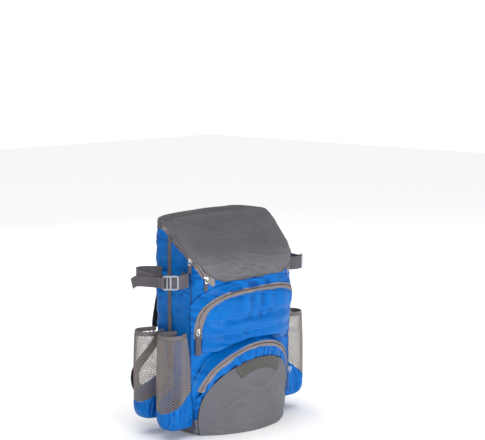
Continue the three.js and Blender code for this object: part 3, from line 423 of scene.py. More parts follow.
def moulded_acetal(name, colour):
    """Injection-moulded acetal: smooth and slightly waxy, with a fine spark-eroded grain."""
    material, tree = new_material(name)
    place = add_node(tree, "ShaderNodeTexCoord").outputs["Object"]
    # Grain 0.7 mm across, and scuffs 8 mm across.
    grain = add_node(
        tree, "ShaderNodeTexNoise", {"Vector": place, "Scale": 1400.0, "Detail": 2.0}
    ).outputs["Fac"]
    scuff = add_node(
        tree, "ShaderNodeTexNoise", {"Vector": place, "Scale": 120.0, "Detail": 5.0}
    ).outputs["Fac"]
    base = tint(tree, rgba(colour), rgba(colour, 1.35), scuff, 0.4, 0.75, 0.35)
    limits = {"From Min": 0.3, "From Max": 0.7, "To Min": 0.3, "To Max": 0.42}
    rough = add_node(tree, "ShaderNodeMapRange", {"Value": scuff, **limits}).outputs["Result"]
    bumped = add_node(
        tree, "ShaderNodeBump", {"Height": grain, "Strength": 0.12, "Distance": 0.2 * MM}
    ).outputs["Normal"]
    surface(tree, base, rough, bumped, IOR=1.48)
    return material


def plated_metal(name, colour):
    """Die-cast zinc with nickel plating: bright, with fine handling scratches."""
    material, tree = new_material(name)
    place = add_node(tree, "ShaderNodeTexCoord").outputs["Object"]
    # Scratches 3 mm long and 0.4 mm wide, and duller spots 6 mm across.
    scratch_place = add_node(
        tree, "ShaderNodeMapping", {"Vector": place, "Scale": (300.0, 300.0, 2500.0)}
    ).outputs["Vector"]
    scratch = add_node(
        tree, "ShaderNodeTexNoise", {"Vector": scratch_place, "Scale": 1.0, "Detail": 3.0}
    ).outputs["Fac"]
    tone = add_node(tree, "ShaderNodeTexNoise", {"Vector": place, "Scale": 160.0}).outputs["Fac"]
    base = tint(tree, rgba(colour), rgba(colour, 0.75), tone, 0.3, 0.7, 0.3)
    limits = {"From Min": 0.3, "From Max": 0.7, "To Min": 0.18, "To Max": 0.3}
    rough = add_node(tree, "ShaderNodeMapRange", {"Value": scratch, **limits}).outputs["Result"]
    bumped = add_node(
        tree, "ShaderNodeBump", {"Height": scratch, "Strength": 0.1, "Distance": 0.1 * MM}
    ).outputs["Normal"]
    surface(tree, base, rough, bumped, Metallic=1.0)
    return material


def paper_sweep(name, colour):
    """Seamless background paper: matt and even, with a faint fibre grain."""
    material, tree = new_material(name)
    place = add_node(tree, "ShaderNodeTexCoord").outputs["Object"]
    fibre = add_node(
        tree, "ShaderNodeTexNoise", {"Vector": place, "Scale": 60.0, "Detail": 4.0}
    ).outputs["Fac"]
    base = tint(tree, rgba(colour), rgba(colour, 0.97), fibre, 0.3, 0.7, 0.5)
    bumped = add_node(
        tree, "ShaderNodeBump", {"Height": fibre, "Strength": 0.03, "Distance": 1 * MM}
    ).outputs["Normal"]
    surface(tree, base, 0.9, bumped)
    return material


def finish_named(name):
    """The bag's finishes by name, each made once."""
    if name in bpy.data.materials:
        return bpy.data.materials[name]
    c = colours()
    blue = (c.blue, c.blue_shade)
    grey = (c.grey, c.grey_shade)
    makers = {
        "blue_coated_polyester": lambda n: woven_polyester(n, *blue, 1.6 * MM, 0.4, 0.5, 0.0),
        "grey_lid_polyester": lambda n: woven_polyester(n, *grey, 1.4 * MM, 0.48, 0.16, 0.05),
        "grey_panel_polyester": lambda n: woven_polyester(n, *grey, 1.4 * MM, 0.52, 0.1, 0.05),
        "zip_tape_twill": lambda n: ribbed_tape(n, c.tape, 1.3 * MM, 0.75, valley_shade=0.35),
        "nylon_zip_coil": lambda n: ribbed_tape(n, c.coil, 1.1 * MM, 0.5),
        "knitted_net": lambda n: knitted_yarn(n, c.net),
        "bound_hem": lambda n: ribbed_tape(n, c.hem, 1.6 * MM, 0.75),
        "ribbed_webbing": lambda n: ribbed_tape(n, c.webbing, 1.7 * MM, 0.7),
        "black_webbing": lambda n: ribbed_tape(n, c.black, 1.7 * MM, 0.75),
        "black_air_mesh": lambda n: air_mesh(n, c.black),
        "patch_twill": lambda n: ribbed_tape(n, c.patch, 1.5 * MM, 0.65, "DIAGONAL"),
        "piping_cord": lambda n: ribbed_tape(n, c.piping, 1.2 * MM, 0.6),
        "grey_thread": lambda n: ribbed_tape(n, c.grey_shade, 0.8 * MM, 0.7),
        # Painted highlight: the quilting stitches take the pale thread colour, so that the channels show
        # as light lines.
        "blue_thread": lambda n: ribbed_tape(n, c.quilt_thread_highlight, 0.8 * MM, 0.6),
        "acetal_buckle": lambda n: moulded_acetal(n, c.buckle),
        "nickel_slider": lambda n: plated_metal(n, c.metal),
        "paper_sweep": lambda n: paper_sweep(n, c.floor),
    }
    return makers[name](name)


# Modelling helpers


def pick_only(obj):
    bpy.ops.object.select_all(action="DESELECT")
    obj.select_set(True)
    bpy.context.view_layer.objects.active = obj


def in_edit_mode(obj, work):
    pick_only(obj)
    bpy.ops.object.mode_set(mode="EDIT")
    bpy.ops.mesh.select_all(action="SELECT")
    work()
    bpy.ops.object.mode_set(mode="OBJECT")


def cad_copy(name, node, sharp=50):
    """A copy of a frame node as a new piece, with its triangles joined to quads and its sharp
    edges creased."""
    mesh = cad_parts[node].data.copy()
    mesh.materials.clear()
    obj = bpy.data.objects.new(name, mesh)
    bpy.context.scene.collection.objects.link(obj)

    def work():
        bpy.ops.mesh.remove_doubles(threshold=0.01 * MM)
        bpy.ops.mesh.tris_convert_to_quads(face_threshold=FLAT, shape_threshold=FLAT)
        bpy.ops.mesh.select_all(action="DESELECT")
        bpy.ops.mesh.select_mode(type="EDGE")
        bpy.ops.mesh.edges_select_sharp(sharpness=math.radians(sharp))
        bpy.ops.transform.edge_crease(value=1.0)

    in_edit_mode(obj, work)
    return obj


def modify(obj, kind, **settings):
    """Adds a modifier and applies it."""
    pick_only(obj)
    bpy.ops.object.modifier_add(type=kind)
    modifier = obj.modifiers[-1]
    for key, value in settings.items():
        setattr(modifier, key, value)
    bpy.ops.object.modifier_apply(modifier=modifier.name)


def round_edges(obj, width, segments=3):
    """Rounds a hard piece's edges by a width in millimetres."""
    angle = math.radians(30)
    modify(obj, "BEVEL", width=width * MM, segments=segments, limit_method="ANGLE", angle_limit=angle)


def subdivide(obj, levels):
    modify(obj, "SUBSURF", levels=levels, render_levels=levels)


def smooth(obj, angle=40):
    pick_only(obj)
    bpy.ops.object.shade_smooth_by_angle(angle=math.radians(angle))


def dress(obj, finish, slot, *nodes):
    """Gives a piece its finish, its body and the frame nodes that it stands for."""
    obj.data.materials.clear()
    obj.data.materials.append(finish_named(finish))
    smooth(obj)
    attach(obj, "root")
    if nodes:
        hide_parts(*nodes)
    return obj


def push(obj, height):
    """Moves each point outwards, from the bag's middle, by height at that point. The attribute
    named fold keeps how deep it then lies below its neighbours in millimetres, for the shading."""
    mesh = obj.data
    moved = []
    folds = []
    for vertex in mesh.vertices:
        outward = vertex.normal.copy()
        if outward.dot(vertex.co - MIDDLE) < 0:
            outward.negate()
        folds.append(height(vertex.co))
        moved.append(vertex.co + outward * folds[-1])
    for vertex, place in zip(mesh.vertices, moved):
        vertex.co = place
    around = [[] for _ in folds]
    for edge in mesh.edges:
        a, b = edge.vertices
        around[a].append(folds[b])
        around[b].append(folds[a])
    depths = []
    for near, own in zip(around, folds):
        depths.append((sum(near) / len(near) - own) / MM if near else 0.0)
    kept = mesh.attributes.new("fold", "FLOAT", "POINT")
    kept.data.foreach_set("value", depths)


def cloth_piece(name, node, levels, height, finish, slot, sharp=50):
    """A frame node's copy in cloth: subdivided, pushed outwards by height, and dressed."""
    piece = cad_copy(name, node, sharp)
    subdivide(piece, levels)
    if height:
        push(piece, height)
    return dress(piece, finish, slot, node)


def hard_piece(name, node, width, finish, slot, segments=3):
    """A frame node's copy in plastic, metal or stiff webbing, with its edges rounded."""
    piece = cad_copy(name, node)
    round_edges(piece, width, segments)
    return dress(piece, finish, slot, node)


def ridge(place, bend):
    """Ridged noise, 1 along its sharp ridges and 0 between them."""
    swirl = noise.noise_vector(place * 0.6) * bend
    return 1 - min(1, abs(noise.noise(place + swirl)) * 2.6)


def fold_field(co):
    """Height of the folds in filled cloth: broad dents, with soft ridges that run mostly
    across, and more of them where the lid draws the cloth together."""
    broad = noise.noise(co * 13)
    ridges = ridge(Vector((co.x * 13, co.y * 13, co.z * 26)), 1.1)
    drawn = soften(co.z - 0.29, 0.05) * soften(0.46 - co.z, 0.05)
    tight = ridge(Vector((co.x * 15, co.y * 22 + 7, co.z * 52 + co.x * 9)), 0.9)
    return sizes().fold_height * (0.5 * broad + 0.75 * (ridges - 0.5) + 0.7 * drawn * (tight - 0.5))


def soften(edge, width):
    """0 at an edge, rising to 1 at width from it."""
    share = max(0.0, min(1.0, edge / width))
    return share * share * (3 - 2 * share)


def tree_of(*objects):
    """A search tree of finished pieces, for laying seams and fittings on them."""
    points, faces = [], []
    for obj in objects:
        start = len(points)
        points += [v.co.copy() for v in obj.data.vertices]
        faces += [[start + i for i in p.vertices] for p in obj.data.polygons]
    return BVHTree.FromPolygons(points, faces)


def from_front(tree, x, z):
    """Where a straight line from the front meets a piece, and the surface's normal there."""
    place, normal, _, _ = tree.ray_cast(Vector((x, -FAR, z)), Vector((0, 1, 0)))
    return (place, normal) if place else None


def evenly(path, pitch):
    """Points a pitch apart along a path of (place, normal), with their direction."""
    out, carried = [], 0.0
    for (a, na), (b, nb) in zip(path, path[1:]):
        span = (b - a).length
        if span < 1e-7:
            continue
        along = (b - a) / span
        while carried < span:
            share = carried / span
            out.append((a.lerp(b, share), na.lerp(nb, share).normalized(), along))
            carried += pitch
        carried -= span
    return out


def block_template(length, width, height):
    """A small block with cut corners, as points and faces round its centre."""
    bpy.ops.object.select_all(action="DESELECT")
    bpy.ops.mesh.primitive_cube_add(size=1)
    obj = bpy.context.active_object
    pick_only(obj)
    bpy.ops.object.mode_set(mode="EDIT")
    bpy.ops.mesh.select_all(action="SELECT")
    bpy.ops.transform.resize(value=(length, width, height))
    bpy.ops.mesh.select_all(action="DESELECT")
    bpy.ops.object.mode_set(mode="OBJECT")
    for face in obj.data.polygons:
        face.select = face.normal.z > 0.5
    bpy.ops.object.mode_set(mode="EDIT")
    bpy.ops.mesh.select_mode(type="FACE")
    bpy.ops.transform.resize(value=(0.75, 0.6, 1))
    bpy.ops.object.mode_set(mode="OBJECT")
    points = [v.co.copy() for v in obj.data.vertices]
    faces = [list(p.vertices) for p in obj.data.polygons]
    bpy.data.objects.remove(obj)
    return points, faces


def new_piece(name, points, faces):
    """A new mesh object from points and faces."""
    mesh = bpy.data.meshes.new(name)
    mesh.from_pydata(points, [], faces)
    obj = bpy.data.objects.new(name, mesh)
    bpy.context.scene.collection.objects.link(obj)
    return obj


def scatter(name, template, places, lift=0.0, aside=0.0):
    """Copies of a template at places of (point, normal, direction), as one piece."""
    points, faces = [], []
    for place, normal, along in places:
        side = normal.cross(along).normalized()
        forward = side.cross(normal).normalized()
        base = place + normal * lift + side * aside
        start = len(points)
        points += [base + forward * p.x + side * p.y + normal * p.z for p in template[0]]
        faces += [[start + i for i in face] for face in template[1]]
    return new_piece(name, points, faces)


def stitch_rows(name, rows, finish, slot):
    """Rows of raised stitches, each row a path of (place, normal)."""
    s = sizes()
    template = block_template(s.stitch, STITCH_WIDTH, STITCH_HEIGHT)
    places = [p for row in rows for p in evenly(row, s.stitch_pitch)]
    return dress(scatter(name, template, places, STITCH_LIFT), finish, slot)


def lay_coil(name, middle):
    """The two rows of a zip's nylon coil, down the middle line of its tape."""
    places = evenly(middle, sizes().tooth_pitch)
    for row, side in (("a", -1), ("b", 1)):
        coil = scatter(f"{name}_{row}", block_template(*TOOTH), places, COIL_LIFT, side * COIL_ASIDE)
        dress(coil, *ZIP_COIL)


def cord_along(name, path, radius, lift=0.0):
    """A round cord laid along a path of (place, normal)."""
    curve = bpy.data.curves.new(name, "CURVE")
    curve.dimensions = "3D"
    curve.bevel_depth = radius
    curve.bevel_resolution = 2
    curve.use_fill_caps = True
    spline = curve.splines.new("POLY")
    spline.points.add(len(path) - 1)
    for point, (place, normal) in zip(spline.points, path):
        point.co = (*(place + normal * lift), 1)
    obj = bpy.data.objects.new(name, curve)
    bpy.context.scene.collection.objects.link(obj)
    pick_only(obj)
    bpy.ops.object.convert(target="MESH")
    return bpy.context.active_object


def arch_point(arch, turn, inset):
    """A point of a pocket's arch at a turn in degrees, drawn in by inset: (x, z)."""
    half, top, leg, square = ARCHES[arch]

    def at(degrees):
        angle = math.radians(max(-90, min(90, degrees)))
        x = math.copysign(abs(math.sin(angle)) ** (2 / square), angle)
        return Vector((half * x, leg + (top - leg) * abs(math.cos(angle)) ** (2 / square)))

    here = at(turn)
    run = (at(min(turn + 0.5, 90)) - at(max(turn - 0.5, -90))).normalized()
    return here.x + run.y * inset, here.y - run.x * inset


def arch_height(arch, x, inset):
    """The height of an arch's inset line at x."""
    half, top, leg, square = ARCHES[arch]
    share = min(1, abs(x) / (half - inset))
    return leg + (top - leg - inset) * (1 - share**square) ** (1 / square)


def arch_path(tree, arch, inset, start=-88, end=88, steps=90):
    """An arch's inset line laid on the pieces of a tree, seen from the front."""
    path = []
    for i in range(steps + 1):
        x, z = arch_point(arch, start + (end - start) * i / steps, inset)
        hit = from_front(tree, x, z)
        if hit and hit[1].y < -0.05:
            path.append(hit)
    return path


# Pieces of the bag


def make_body():
    shell = cloth_piece("body_cloth", "body_shell", 3, fold_field, *BLUE_CLOTH)
    base = cloth_piece("base_cloth", "base_panel", 2, None, *PANEL_CLOTH)
    # Piping up the two front seams.
    tree = tree_of(shell, base)
    for name, side in SIDES.items():
        path = []
        for step in range(PIPING_POINTS):
            z = PIPING_FOOT + step * PIPING_PITCH
            place, _, _, _ = tree.find_nearest(Vector((side * body_half(z), SEAM_Y, z)))
            path.append((place, Vector((side * 0.7, -0.7, 0))))
        piping = cord_along(f"front_seam_piping_{name}", path, sizes().piping, lift=0.3 * MM)
        dress(piping, "piping_cord", "blueCloth")


def body_half(z):
    """Half the body's width at a height: it narrows to a share of it at the floor."""
    foot_share = 0.9
    full_from = 0.22 * BODY_HEIGHT
    return BODY_WIDTH / 2 * (foot_share + (1 - foot_share) * min(1, z / full_from))


def lid_edge_height(x):
    """The height of the lid's free edge over the front, at x."""
    share = min(1, abs(x) / (BODY_WIDTH / 2))
    for (low, start), (high, end) in zip(LID_EDGE, LID_EDGE[1:]):
        if share <= high:
            return BODY_HEIGHT * (start + (end - start) * (share - low) / (high - low))
    return BODY_HEIGHT * LID_EDGE[-1][1]


def tape_path(coarse, tree):
    """The middle line of a zip tape, from the centres of its outer faces, laid on a tree."""
    centres = []
    for face in coarse.data.polygons:
        outward = face.center - MIDDLE
        outward.z = 0
        if face.normal.dot(outward.normalized()) > 0.5 and face.area > 40 * MM * MM:
            centres.append(face.center.copy())
    centres.sort(key=lambda c: math.atan2(c.x, MIDDLE.y - c.y))
    path = []
    for a, b in zip(centres, centres[1:]):
        steps = max(1, round((b - a).length / (4 * MM)))
        for i in range(steps):
            place, normal, _, _ = tree.find_nearest(a.lerp(b, i / steps))
            if normal.dot(place - MIDDLE) < 0:
                normal = -normal
            path.append((place, normal))
    return path


def make_lid():
    def height(co):
        # Broad slack dents on the flap, and ripples that grow towards its free edge.
        front = soften(MIDDLE.y - co.y, 40 * MM)
        depth = soften(0.45 - co.z, 0.09) * front
        ripple = noise.noise(Vector((co.x * 30, co.z * 8, 3)))
        pinch = ridge(Vector((co.x * 16 + co.z * 20, co.z * 7, 9)), 0.5)
        return fold_field(co) * 0.45 + 2.2 * MM * ripple * depth + 2 * MM * (pinch - 0.4) * depth

    lid = cloth_piece("lid_cloth", "lid", 3, height, *LID_CLOTH, sharp=60)
    tree = tree_of(lid)
    edge, hem = [], []
    for i in range(-80, 81):
        x = i * 2 * MM
        for path, lift in ((edge, 1.2 * MM), (hem, 6 * MM)):
            hit = from_front(tree, x, lid_edge_height(x) + lift)
            if hit and hit[1].y < -0.1:
                path.append(hit)
    dress(cord_along("lid_edge_binding", edge, 1.2 * MM), "grey_thread", "greyCloth")
    stitch_rows("lid_edge_stitches", [hem], "grey_thread", "greyCloth")
    for name in SIDES:
        node = f"lid_zip_tape_{name}"
        tape = cloth_piece(f"lid_zip_{name}", node, 2, fold_field, *ZIP_TAPE)
        coarse = cad_copy("lid_zip_middle", node)
        middle = tape_path(coarse, tree_of(tape))
        bpy.data.objects.remove(coarse)
        end_tab(name, max(evenly(middle, 2 * MM), key=lambda point: point[0].y))
        lay_coil(f"lid_coil_{name}", middle)
        rows = []
        for aside in (-4.8 * MM, 4.8 * MM):
            rows.append([(p + n.cross(a).normalized() * aside, n) for p, n, a in evenly(middle, 4 * MM)])
        stitch_rows(f"lid_zip_stitches_{name}", rows, "grey_thread", "zipTape")


def end_tab(name, end):
    """The cloth tab that closes a lid zip's rear end, bent round the body's corner."""
    place, normal, along = end
    rearward = along if along.y > 0 else -along
    place = place + rearward * 6 * MM
    block = block_template(26 * MM, 19 * MM, 2 * MM)
    tab = scatter(f"lid_zip_end_{name}", block, [(place, normal, rearward)])
    modify(tab, "SUBSURF", levels=3, render_levels=3, subdivision_type="SIMPLE")
    corner_radius = 26 * MM
    for vertex in tab.data.vertices:
        reach = (vertex.co - place).dot(along)
        vertex.co -= normal * reach**2 / (2 * corner_radius)
    dress(tab, *WEBBING)


def quilted(co):
    """Height of the quilted face: channels sewn across, cushions between them, short puckers at
    each channel, and longer ones that hang from the zip."""
    nearest = min(abs(co.z - line) for line in QUILT_LINES)
    pucker = math.exp(-((nearest / (9 * MM)) ** 2))
    swell = soften(nearest, 16 * MM)
    gather = noise.noise(Vector((co.x * 60, co.z * 14, 1)))
    hang = ridge(Vector((co.x * 26 - co.z * 4, co.z * 5, 5)), 0.4) - 0.45
    edge = soften(BODY_WIDTH / 2 - 22 * MM - abs(co.x), 25 * MM)
    below = arch_height("upper", co.x, ZIP_BAND) - co.z
    rim = soften(below, 10 * MM)
    near_zip = rim * soften(60 * MM - below, 40 * MM)
    return (
        0.8 * fold_field(co)
        + edge * rim * sizes().quilt_puff * (swell - 0.35)
        + 1.3 * MM * gather * pucker * edge
        + 3.4 * MM * hang * near_zip
    )


def make_upper_pocket():
    cloth_piece("upper_gusset_cloth", "upper_pocket_gusset", 2, fold_field, *BLUE_CLOTH)
    tape = cloth_piece("upper_zip", "upper_pocket_zip_tape", 2, fold_field, *ZIP_TAPE)
    face = cloth_piece("upper_quilted_face", "upper_pocket_face", 3, quilted, *BLUE_CLOTH, sharp=70)
    zip_run("upper", tape, -86, 86)
    tree = tree_of(face)
    rows = []
    for line in QUILT_LINES:
        row = [from_front(tree, x * MM, line) for x in range(-148, 149, 4)]
        rows.append([hit for hit in row if hit and hit[1].y < -0.1])
    rows.append(arch_path(tree, "upper", ZIP_BAND + 4 * MM, -80, 80))
    stitch_rows("upper_face_stitches", rows, "blue_thread", "blueCloth")


def zip_run(arch, tape, start, end):
    """The coil down a pocket's zip band, and a row of stitches along each edge of the tape."""
    tree = tree_of(tape)
    lay_coil(f"{arch}_coil", arch_path(tree, arch, ZIP_BAND / 2, start, end, 140))
    rows = [arch_path(tree, arch, inset, start, end) for inset in (1.6 * MM, ZIP_BAND - 1.6 * MM)]
    stitch_rows(f"{arch}_zip_stitches", rows, "grey_thread", "zipTape")


def make_lower_pocket():
    def gathers(co):
        angle = math.atan2(co.x, co.z - 52 * MM)
        across = ridge(Vector((angle * 6.5, co.z * 4, 0.2)), 0.3)
        return fold_field(co) + 3.2 * MM * (across - 0.45)

    def taut(co):
        return 0.6 * fold_field(co)

    cloth_piece("lower_gusset_cloth", "lower_pocket_gusset", 2, fold_field, *BLUE_CLOTH)
    tape = cloth_piece("lower_zip", "lower_pocket_zip_tape", 2, fold_field, *ZIP_TAPE)
    cloth_piece("lower_gathered_band", "lower_pocket_band", 3, gathers, *BLUE_CLOTH)
    cloth_piece("lower_grey_panel", "lower_pocket_panel", 3, taut, *PANEL_CLOTH)
    cloth_piece("lower_plain_patch", "lower_pocket_patch", 3, taut, "patch_twill", "backCloth")
    zip_run("lower", tape, -72, 72)


def boot_top(floor, share):
    return floor + BOOT_HEIGHT + BOOT_RISE * abs(2 * share - 1) ** 1.6


def sleeve_point(side, centre_y, share, z, inset):
    """A point of a sleeve's wall: share 0 is its front edge at the side panel and 1 its rear."""
    wall_x = BODY_WIDTH / 2 + 1.2 * MM
    drawn = max(0, min(1, (z - SLEEVE_WAIST) / (SLEEVE_TOP - SLEEVE_WAIST))) ** 1.5
    radius = SLEEVE_RADIUS + (HEM_RADIUS - SLEEVE_RADIUS) * drawn - inset
    neck = radius * (0.86 - 0.36 * drawn)
    rear = min(neck, SEAM_Y + BODY_DEPTH - centre_y - 6 * MM)
    edge = SLEEVE_TURN
    if WING_SHARE <= share <= 1 - WING_SHARE:
        turn = -edge + 2 * edge * (share - WING_SHARE) / (1 - 2 * WING_SHARE)
        out = SLEEVE_AXIS + radius * math.cos(turn)
        return Vector((side * out, centre_y + radius * math.sin(turn), z))
    sign, part = (-1, share / WING_SHARE) if share < 0.5 else (1, (1 - share) / WING_SHARE)
    y = centre_y + (-neck if share < 0.5 else rear)
    drop = max(0.0, y - (SEAM_Y + BODY_DEPTH - 24 * MM))
    foot = Vector((wall_x - 24 * MM + math.sqrt(max(0, (24 * MM) ** 2 - drop**2)), y, z))
    start = Vector((SLEEVE_AXIS + radius * math.cos(edge), centre_y + sign * radius * math.sin(edge), z))
    place = foot.lerp(start, part)
    place.x *= side
    return place


def knit_net(tag, side, centre_y, floor):
    """A sleeve's net: diamonds of yarn all round, standing on the boot's upper edge."""
    s = sizes()
    hem_bottom = SLEEVE_TOP - HEM_HEIGHT
    columns = 2 * round(0.19 / s.net_cell)
    rows = 2 * round((hem_bottom - floor - BOOT_HEIGHT) / s.net_cell)
    points, faces, index = [], [], {}

    def corner(i, j):
        if (i, j) not in index:
            share = i / columns
            low = boot_top(floor, share) - 1.5 * MM
            z = low + (hem_bottom + 1 * MM - low) * j / rows
            index[i, j] = len(points)
            points.append(sleeve_point(side, centre_y, share, z, 1 * MM))
        return index[i, j]

    for i in range(1, columns):
        for j in range(1 + i % 2, rows, 2):
            faces.append([corner(i - 1, j), corner(i, j - 1), corner(i + 1, j), corner(i, j + 1)])
    net = new_piece(f"net_{tag}", points, faces)
    modify(net, "WIREFRAME", thickness=s.net_yarn, use_even_offset=False)
    dress(net, "knitted_net", "net", f"sleeve_net_{tag}")


def make_sleeves():
    for side_name, side in SIDES.items():
        for place, centre_y in SLEEVE_Y.items():
            tag = f"{place}_{side_name}"
            floor = BOOT_FLOOR[tag]
            knit_net(tag, side, centre_y, floor)

            def gathers(co, centre=centre_y):
                turn = math.atan2(co.y - centre, abs(co.x) - SLEEVE_AXIS)
                return 0.9 * MM * noise.noise(Vector((turn * 7, co.z * 60, centre * 50)))

            cloth_piece(f"hem_{tag}", f"sleeve_hem_{tag}", 3, gathers, "bound_hem", "net")

            def slack(co, centre=centre_y, bottom=floor):
                turn = math.atan2(co.y - centre, abs(co.x) - SLEEVE_AXIS)
                crease = ridge(Vector((turn * 2.1, co.z * 20, centre * 50)), 0.7)
                return 4.2 * MM * (crease - 0.4) * soften(co.z - bottom, 14 * MM)

            cloth_piece(f"boot_{tag}", f"sleeve_boot_{tag}", 3, slack, *BLUE_CLOTH, sharp=75)


def make_side_straps():
    for name, side in SIDES.items():
        for part in ("side_strap", "side_strap_tail", "side_strap_anchor", "side_webbing"):
            cloth_piece(f"{part}_woven_{name}", f"{part}_{name}", 2, None, *WEBBING)
        hard_piece(f"side_buckle_moulded_{name}", f"side_strap_buckle_{name}", 0.9, *BUCKLE)
        lace_buckle(name, side)


def lace_buckle(name, side):
    """The webbing that fills a buckle's slots, with a middle bar of the buckle over it."""
    low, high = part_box(f"side_strap_buckle_{name}")
    middle = (low + high) / 2
    outward = (middle - Vector((side * SLEEVE_AXIS, SLEEVE_Y["front"], middle.z))).normalized()
    along = Vector((0, 0, 1)).cross(outward)
    # Each part's size along the strap, its thickness and height, and its shifts out and along.
    for part, finish, size, lift, shift in (
        ("lacing", WEBBING, (28 * MM, 1.2 * MM, 23 * MM), -1.6 * MM, 0),
        ("middle_bar", BUCKLE, (3 * MM, 3.2 * MM, 30 * MM), 0.1 * MM, 8.2 * MM * side),
    ):
        centre = middle + along * shift + outward * lift
        points, faces = block_template(*size)
        turned = [centre + along * p.x + outward * p.y + Vector((0, 0, p.z)) for p in points]
        piece = new_piece(f"buckle_{part}_{name}", turned, faces)
        round_edges(piece, 0.4, 2)
        dress(piece, *finish)


def slider_template():
    """A cast slider at the origin, its face up +Z and its mouth along +X: a waisted body, the
    bridge over it and the ring that takes the pull."""
    bpy.ops.object.select_all(action="DESELECT")
    bpy.ops.mesh.primitive_torus_add(
        major_radius=3.6 * MM,
        minor_radius=1 * MM,
        major_segments=20,
        minor_segments=8,
        rotation=(math.pi / 2, 0, 0),
    )
    bridge = bpy.context.active_object
    bridge.scale = (1.15, 1, 0.8)
    bridge.location = (0.5 * MM, 0, 2.6 * MM)
    bpy.ops.object.transform_apply(location=True, rotation=True, scale=True)
    bpy.ops.mesh.primitive_torus_add(
        major_radius=3.4 * MM, minor_radius=0.9 * MM, major_segments=20, minor_segments=8
    )
    ring = bpy.context.active_object
    ring.scale = (1.5, 1, 1)
    ring.location = (-6.2 * MM, 0, 3.4 * MM)
    bpy.ops.object.transform_apply(location=True, rotation=True, scale=True)
    points, faces = [], []
    for obj in (bridge, ring):
        start = len(points)
        points += [v.co.copy() for v in obj.data.vertices]
        faces += [[start + i for i in p.vertices] for p in obj.data.polygons]
        bpy.data.objects.remove(obj)
    return points, faces


def make_fittings():
    template = slider_template()
    for name in ("upper_pocket", "lower_pocket", "lid_upper", "lid_lower"):
        slider = hard_piece(f"{name}_slider_cast", f"{name}_slider", 0.9, *PLATED)
        flat = max(slider.data.polygons, key=lambda p: p.area * (p.normal.dot(p.center - MIDDLE) > 0))
        outward = flat.normal.copy()
        middle = sum((v.co for v in slider.data.vertices), Vector()) / len(slider.data.vertices)
        low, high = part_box(f"{name}_pull")
        away = middle - (low + high) / 2
        along = (away - outward * away.dot(outward)).normalized()
        dress(scatter(f"{name}_slider_ring", template, [(middle, outward, along)], 0.6 * MM), *PLATED)
        hard_piece(f"{name}_pull_woven", f"{name}_pull", 0.5, *WEBBING, segments=2)


def channels(co):
    """Depth of the back pad's sewn channels, two upright and two level, with cushions between."""
    lines = [abs(abs(co.x) - PAD_CHANNEL_X), *(abs(co.z - z) for z in PAD_CHANNELS_Z)]
    return -2.6 * MM * math.exp(-((min(lines) / (6 * MM)) ** 2)) if co.y > MIDDLE.y else 0.0


def make_back():
    pad = cloth_piece("back_pad_mesh", "back_pad", 3, channels, *BACK_MESH, sharp=80)
    for name in SIDES:
        strap = cloth_piece(
            f"shoulder_pad_{name}", f"shoulder_strap_{name}", 2, None, *BACK_MESH, sharp=100
        )
        for part in ("strap_webbing", "strap_tab"):
            cloth_piece(f"{part}_woven_{name}", f"{part}_{name}", 2, None, *BACK_WEBBING)
        hard_piece(f"adjuster_moulded_{name}", f"strap_adjuster_{name}", 0.9, *BUCKLE)
    cloth_piece("haul_loop_woven", "haul_loop", 2, None, *BACK_WEBBING)


def make_stage():
    # The photograph's view: 3.5 m from the bag, 46 degrees round from its front to its left side.
    yaw, pitch = math.radians(43.548), math.radians(-7.386)
    ahead = Vector((math.cos(yaw) * math.cos(pitch), math.sin(yaw) * math.cos(pitch), math.sin(pitch)))
    data = bpy.data.cameras.new("photo_camera")
    data.lens = 36 * 1468 / 485
    camera = bpy.data.objects.new("photo_camera", data)
    camera.location = (-2.518, SEAM_Y + 0.032 - 2.431, 0.95)
    camera.rotation_euler = ahead.to_track_quat("-Z", "Y").to_euler()
    bpy.context.scene.collection.objects.link(camera)
    bpy.context.scene.camera = camera
    bpy.ops.object.select_all(action="DESELECT")
    bpy.ops.mesh.primitive_plane_add(size=14)
    floor = bpy.context.active_object
    floor.name = "paper_floor"
    floor.data.materials.append(finish_named("paper_sweep"))
    lights = [
        ("key_softbox", (-1.0, -3.1, 0.75), 1.3, 72),
        ("left_softbox", (-3.0, 0.5, 1.0), 1.6, 10),
        ("right_softbox", (2.8, -1.4, 0.8), 1.6, 8),
        ("rear_softbox", (0.8, 2.8, 1.6), 2.0, 12),
    ]
    for name, place, size, watts in lights:
        light = bpy.data.lights.new(name, "AREA")
        light.size = size
        light.energy = watts
        obj = bpy.data.objects.new(name, light)
        obj.location = place
        obj.rotation_euler = (MIDDLE - Vector(place)).to_track_quat("-Z", "Y").to_euler()
        bpy.context.scene.collection.objects.link(obj)
    # Even light from straight above that falls on the paper alone.
    only_floor = bpy.data.collections.new("lit_from_above")
    only_floor.objects.link(floor)
    above = bpy.data.lights.new("paper_light", "SUN")
    above.energy = 2.25
    above.angle = math.radians(60)
    lamp = bpy.data.objects.new("paper_light", above)
    bpy.context.scene.collection.objects.link(lamp)
    lamp.light_linking.receiver_collection = only_floor
    # A white backdrop to the eye that lights the bag only gently.
    world = bpy.data.worlds.new("studio_white")
    world.use_nodes = True
    tree = world.node_tree
    tree.nodes.clear()
    seen = add_node(tree, "ShaderNodeLightPath").outputs["Is Camera Ray"]
    strength = add_node(
        tree, "ShaderNodeMapRange", {"Value": seen, "To Min": 0.36, "To Max": 1.0}
    ).outputs["Result"]
    back = add_node(tree, "ShaderNodeBackground", {"Color": WHITE, "Strength": strength})
    add_node(tree, "ShaderNodeOutputWorld", {"Surface": back.outputs[0]})
    bpy.context.scene.world = world
    bpy.context.scene.view_settings.view_transform = "Standard"


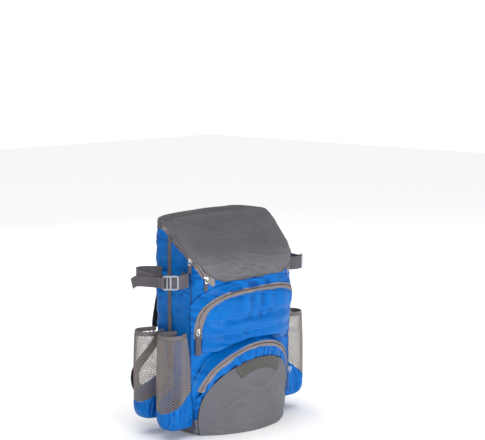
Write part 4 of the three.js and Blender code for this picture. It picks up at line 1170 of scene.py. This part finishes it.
def operator(name, label, text, work):
    """An operator class for one group of pieces."""

    def execute(self, context):
        work()
        return {"FINISHED"}

    members = {
        "__doc__": text,
        "bl_idname": f"backpack.{name}",
        "bl_label": label,
        "bl_options": {"REGISTER", "UNDO"},
        "execute": execute,
    }
    return type(f"BACKPACK_OT_{name}", (bpy.types.Operator,), members)


OPERATORS = [
    operator("stage", "Stage", "Adds the camera, the floor and the studio lights", make_stage),
    operator("body", "Body", "Dresses the body and its base", make_body),
    operator("lid", "Lid", "Dresses the lid and its zips", make_lid),
    operator("upper_pocket", "Upper pocket", "Dresses the quilted upper pocket", make_upper_pocket),
    operator("lower_pocket", "Lower pocket", "Dresses the arched lower pocket", make_lower_pocket),
    operator("sleeves", "Sleeves", "Knits the net sleeves with their hems and boots", make_sleeves),
    operator("side_straps", "Side straps", "Dresses the side straps and their buckles", make_side_straps),
    operator("fittings", "Zip fittings", "Dresses the zip sliders and their pulls", make_fittings),
    operator("back", "Back", "Pads the back and the shoulder straps", make_back),
]


class BACKPACK_PT_panel(bpy.types.Panel):
    """Lists the bag's colours, sizes and pieces."""

    bl_label = "Baseball Backpack"
    bl_idname = "BACKPACK_PT_panel"
    bl_space_type = "VIEW_3D"
    bl_region_type = "UI"
    bl_category = "Backpack"

    def draw(self, context):
        for group in (context.scene.backpack_colours, context.scene.backpack_sizes):
            column = self.layout.column()
            for name in group.bl_rna.properties.keys():
                if name not in ("name", "rna_type"):
                    column.prop(group, name)
        for made in OPERATORS:
            self.layout.operator(made.bl_idname)


CLASSES = [BackpackColours, BackpackSizes, *OPERATORS, BACKPACK_PT_panel]


def register():
    for made in CLASSES:
        bpy.utils.register_class(made)
    bpy.types.Scene.backpack_colours = bpy.props.PointerProperty(type=BackpackColours)
    bpy.types.Scene.backpack_sizes = bpy.props.PointerProperty(type=BackpackSizes)


def unregister():
    del bpy.types.Scene.backpack_sizes
    del bpy.types.Scene.backpack_colours
    for made in reversed(CLASSES):
        bpy.utils.unregister_class(made)


def main():
    register()
    for made in OPERATORS:
        getattr(bpy.ops.backpack, made.bl_idname.split(".")[1])()


if __name__ == "__main__":
    main()
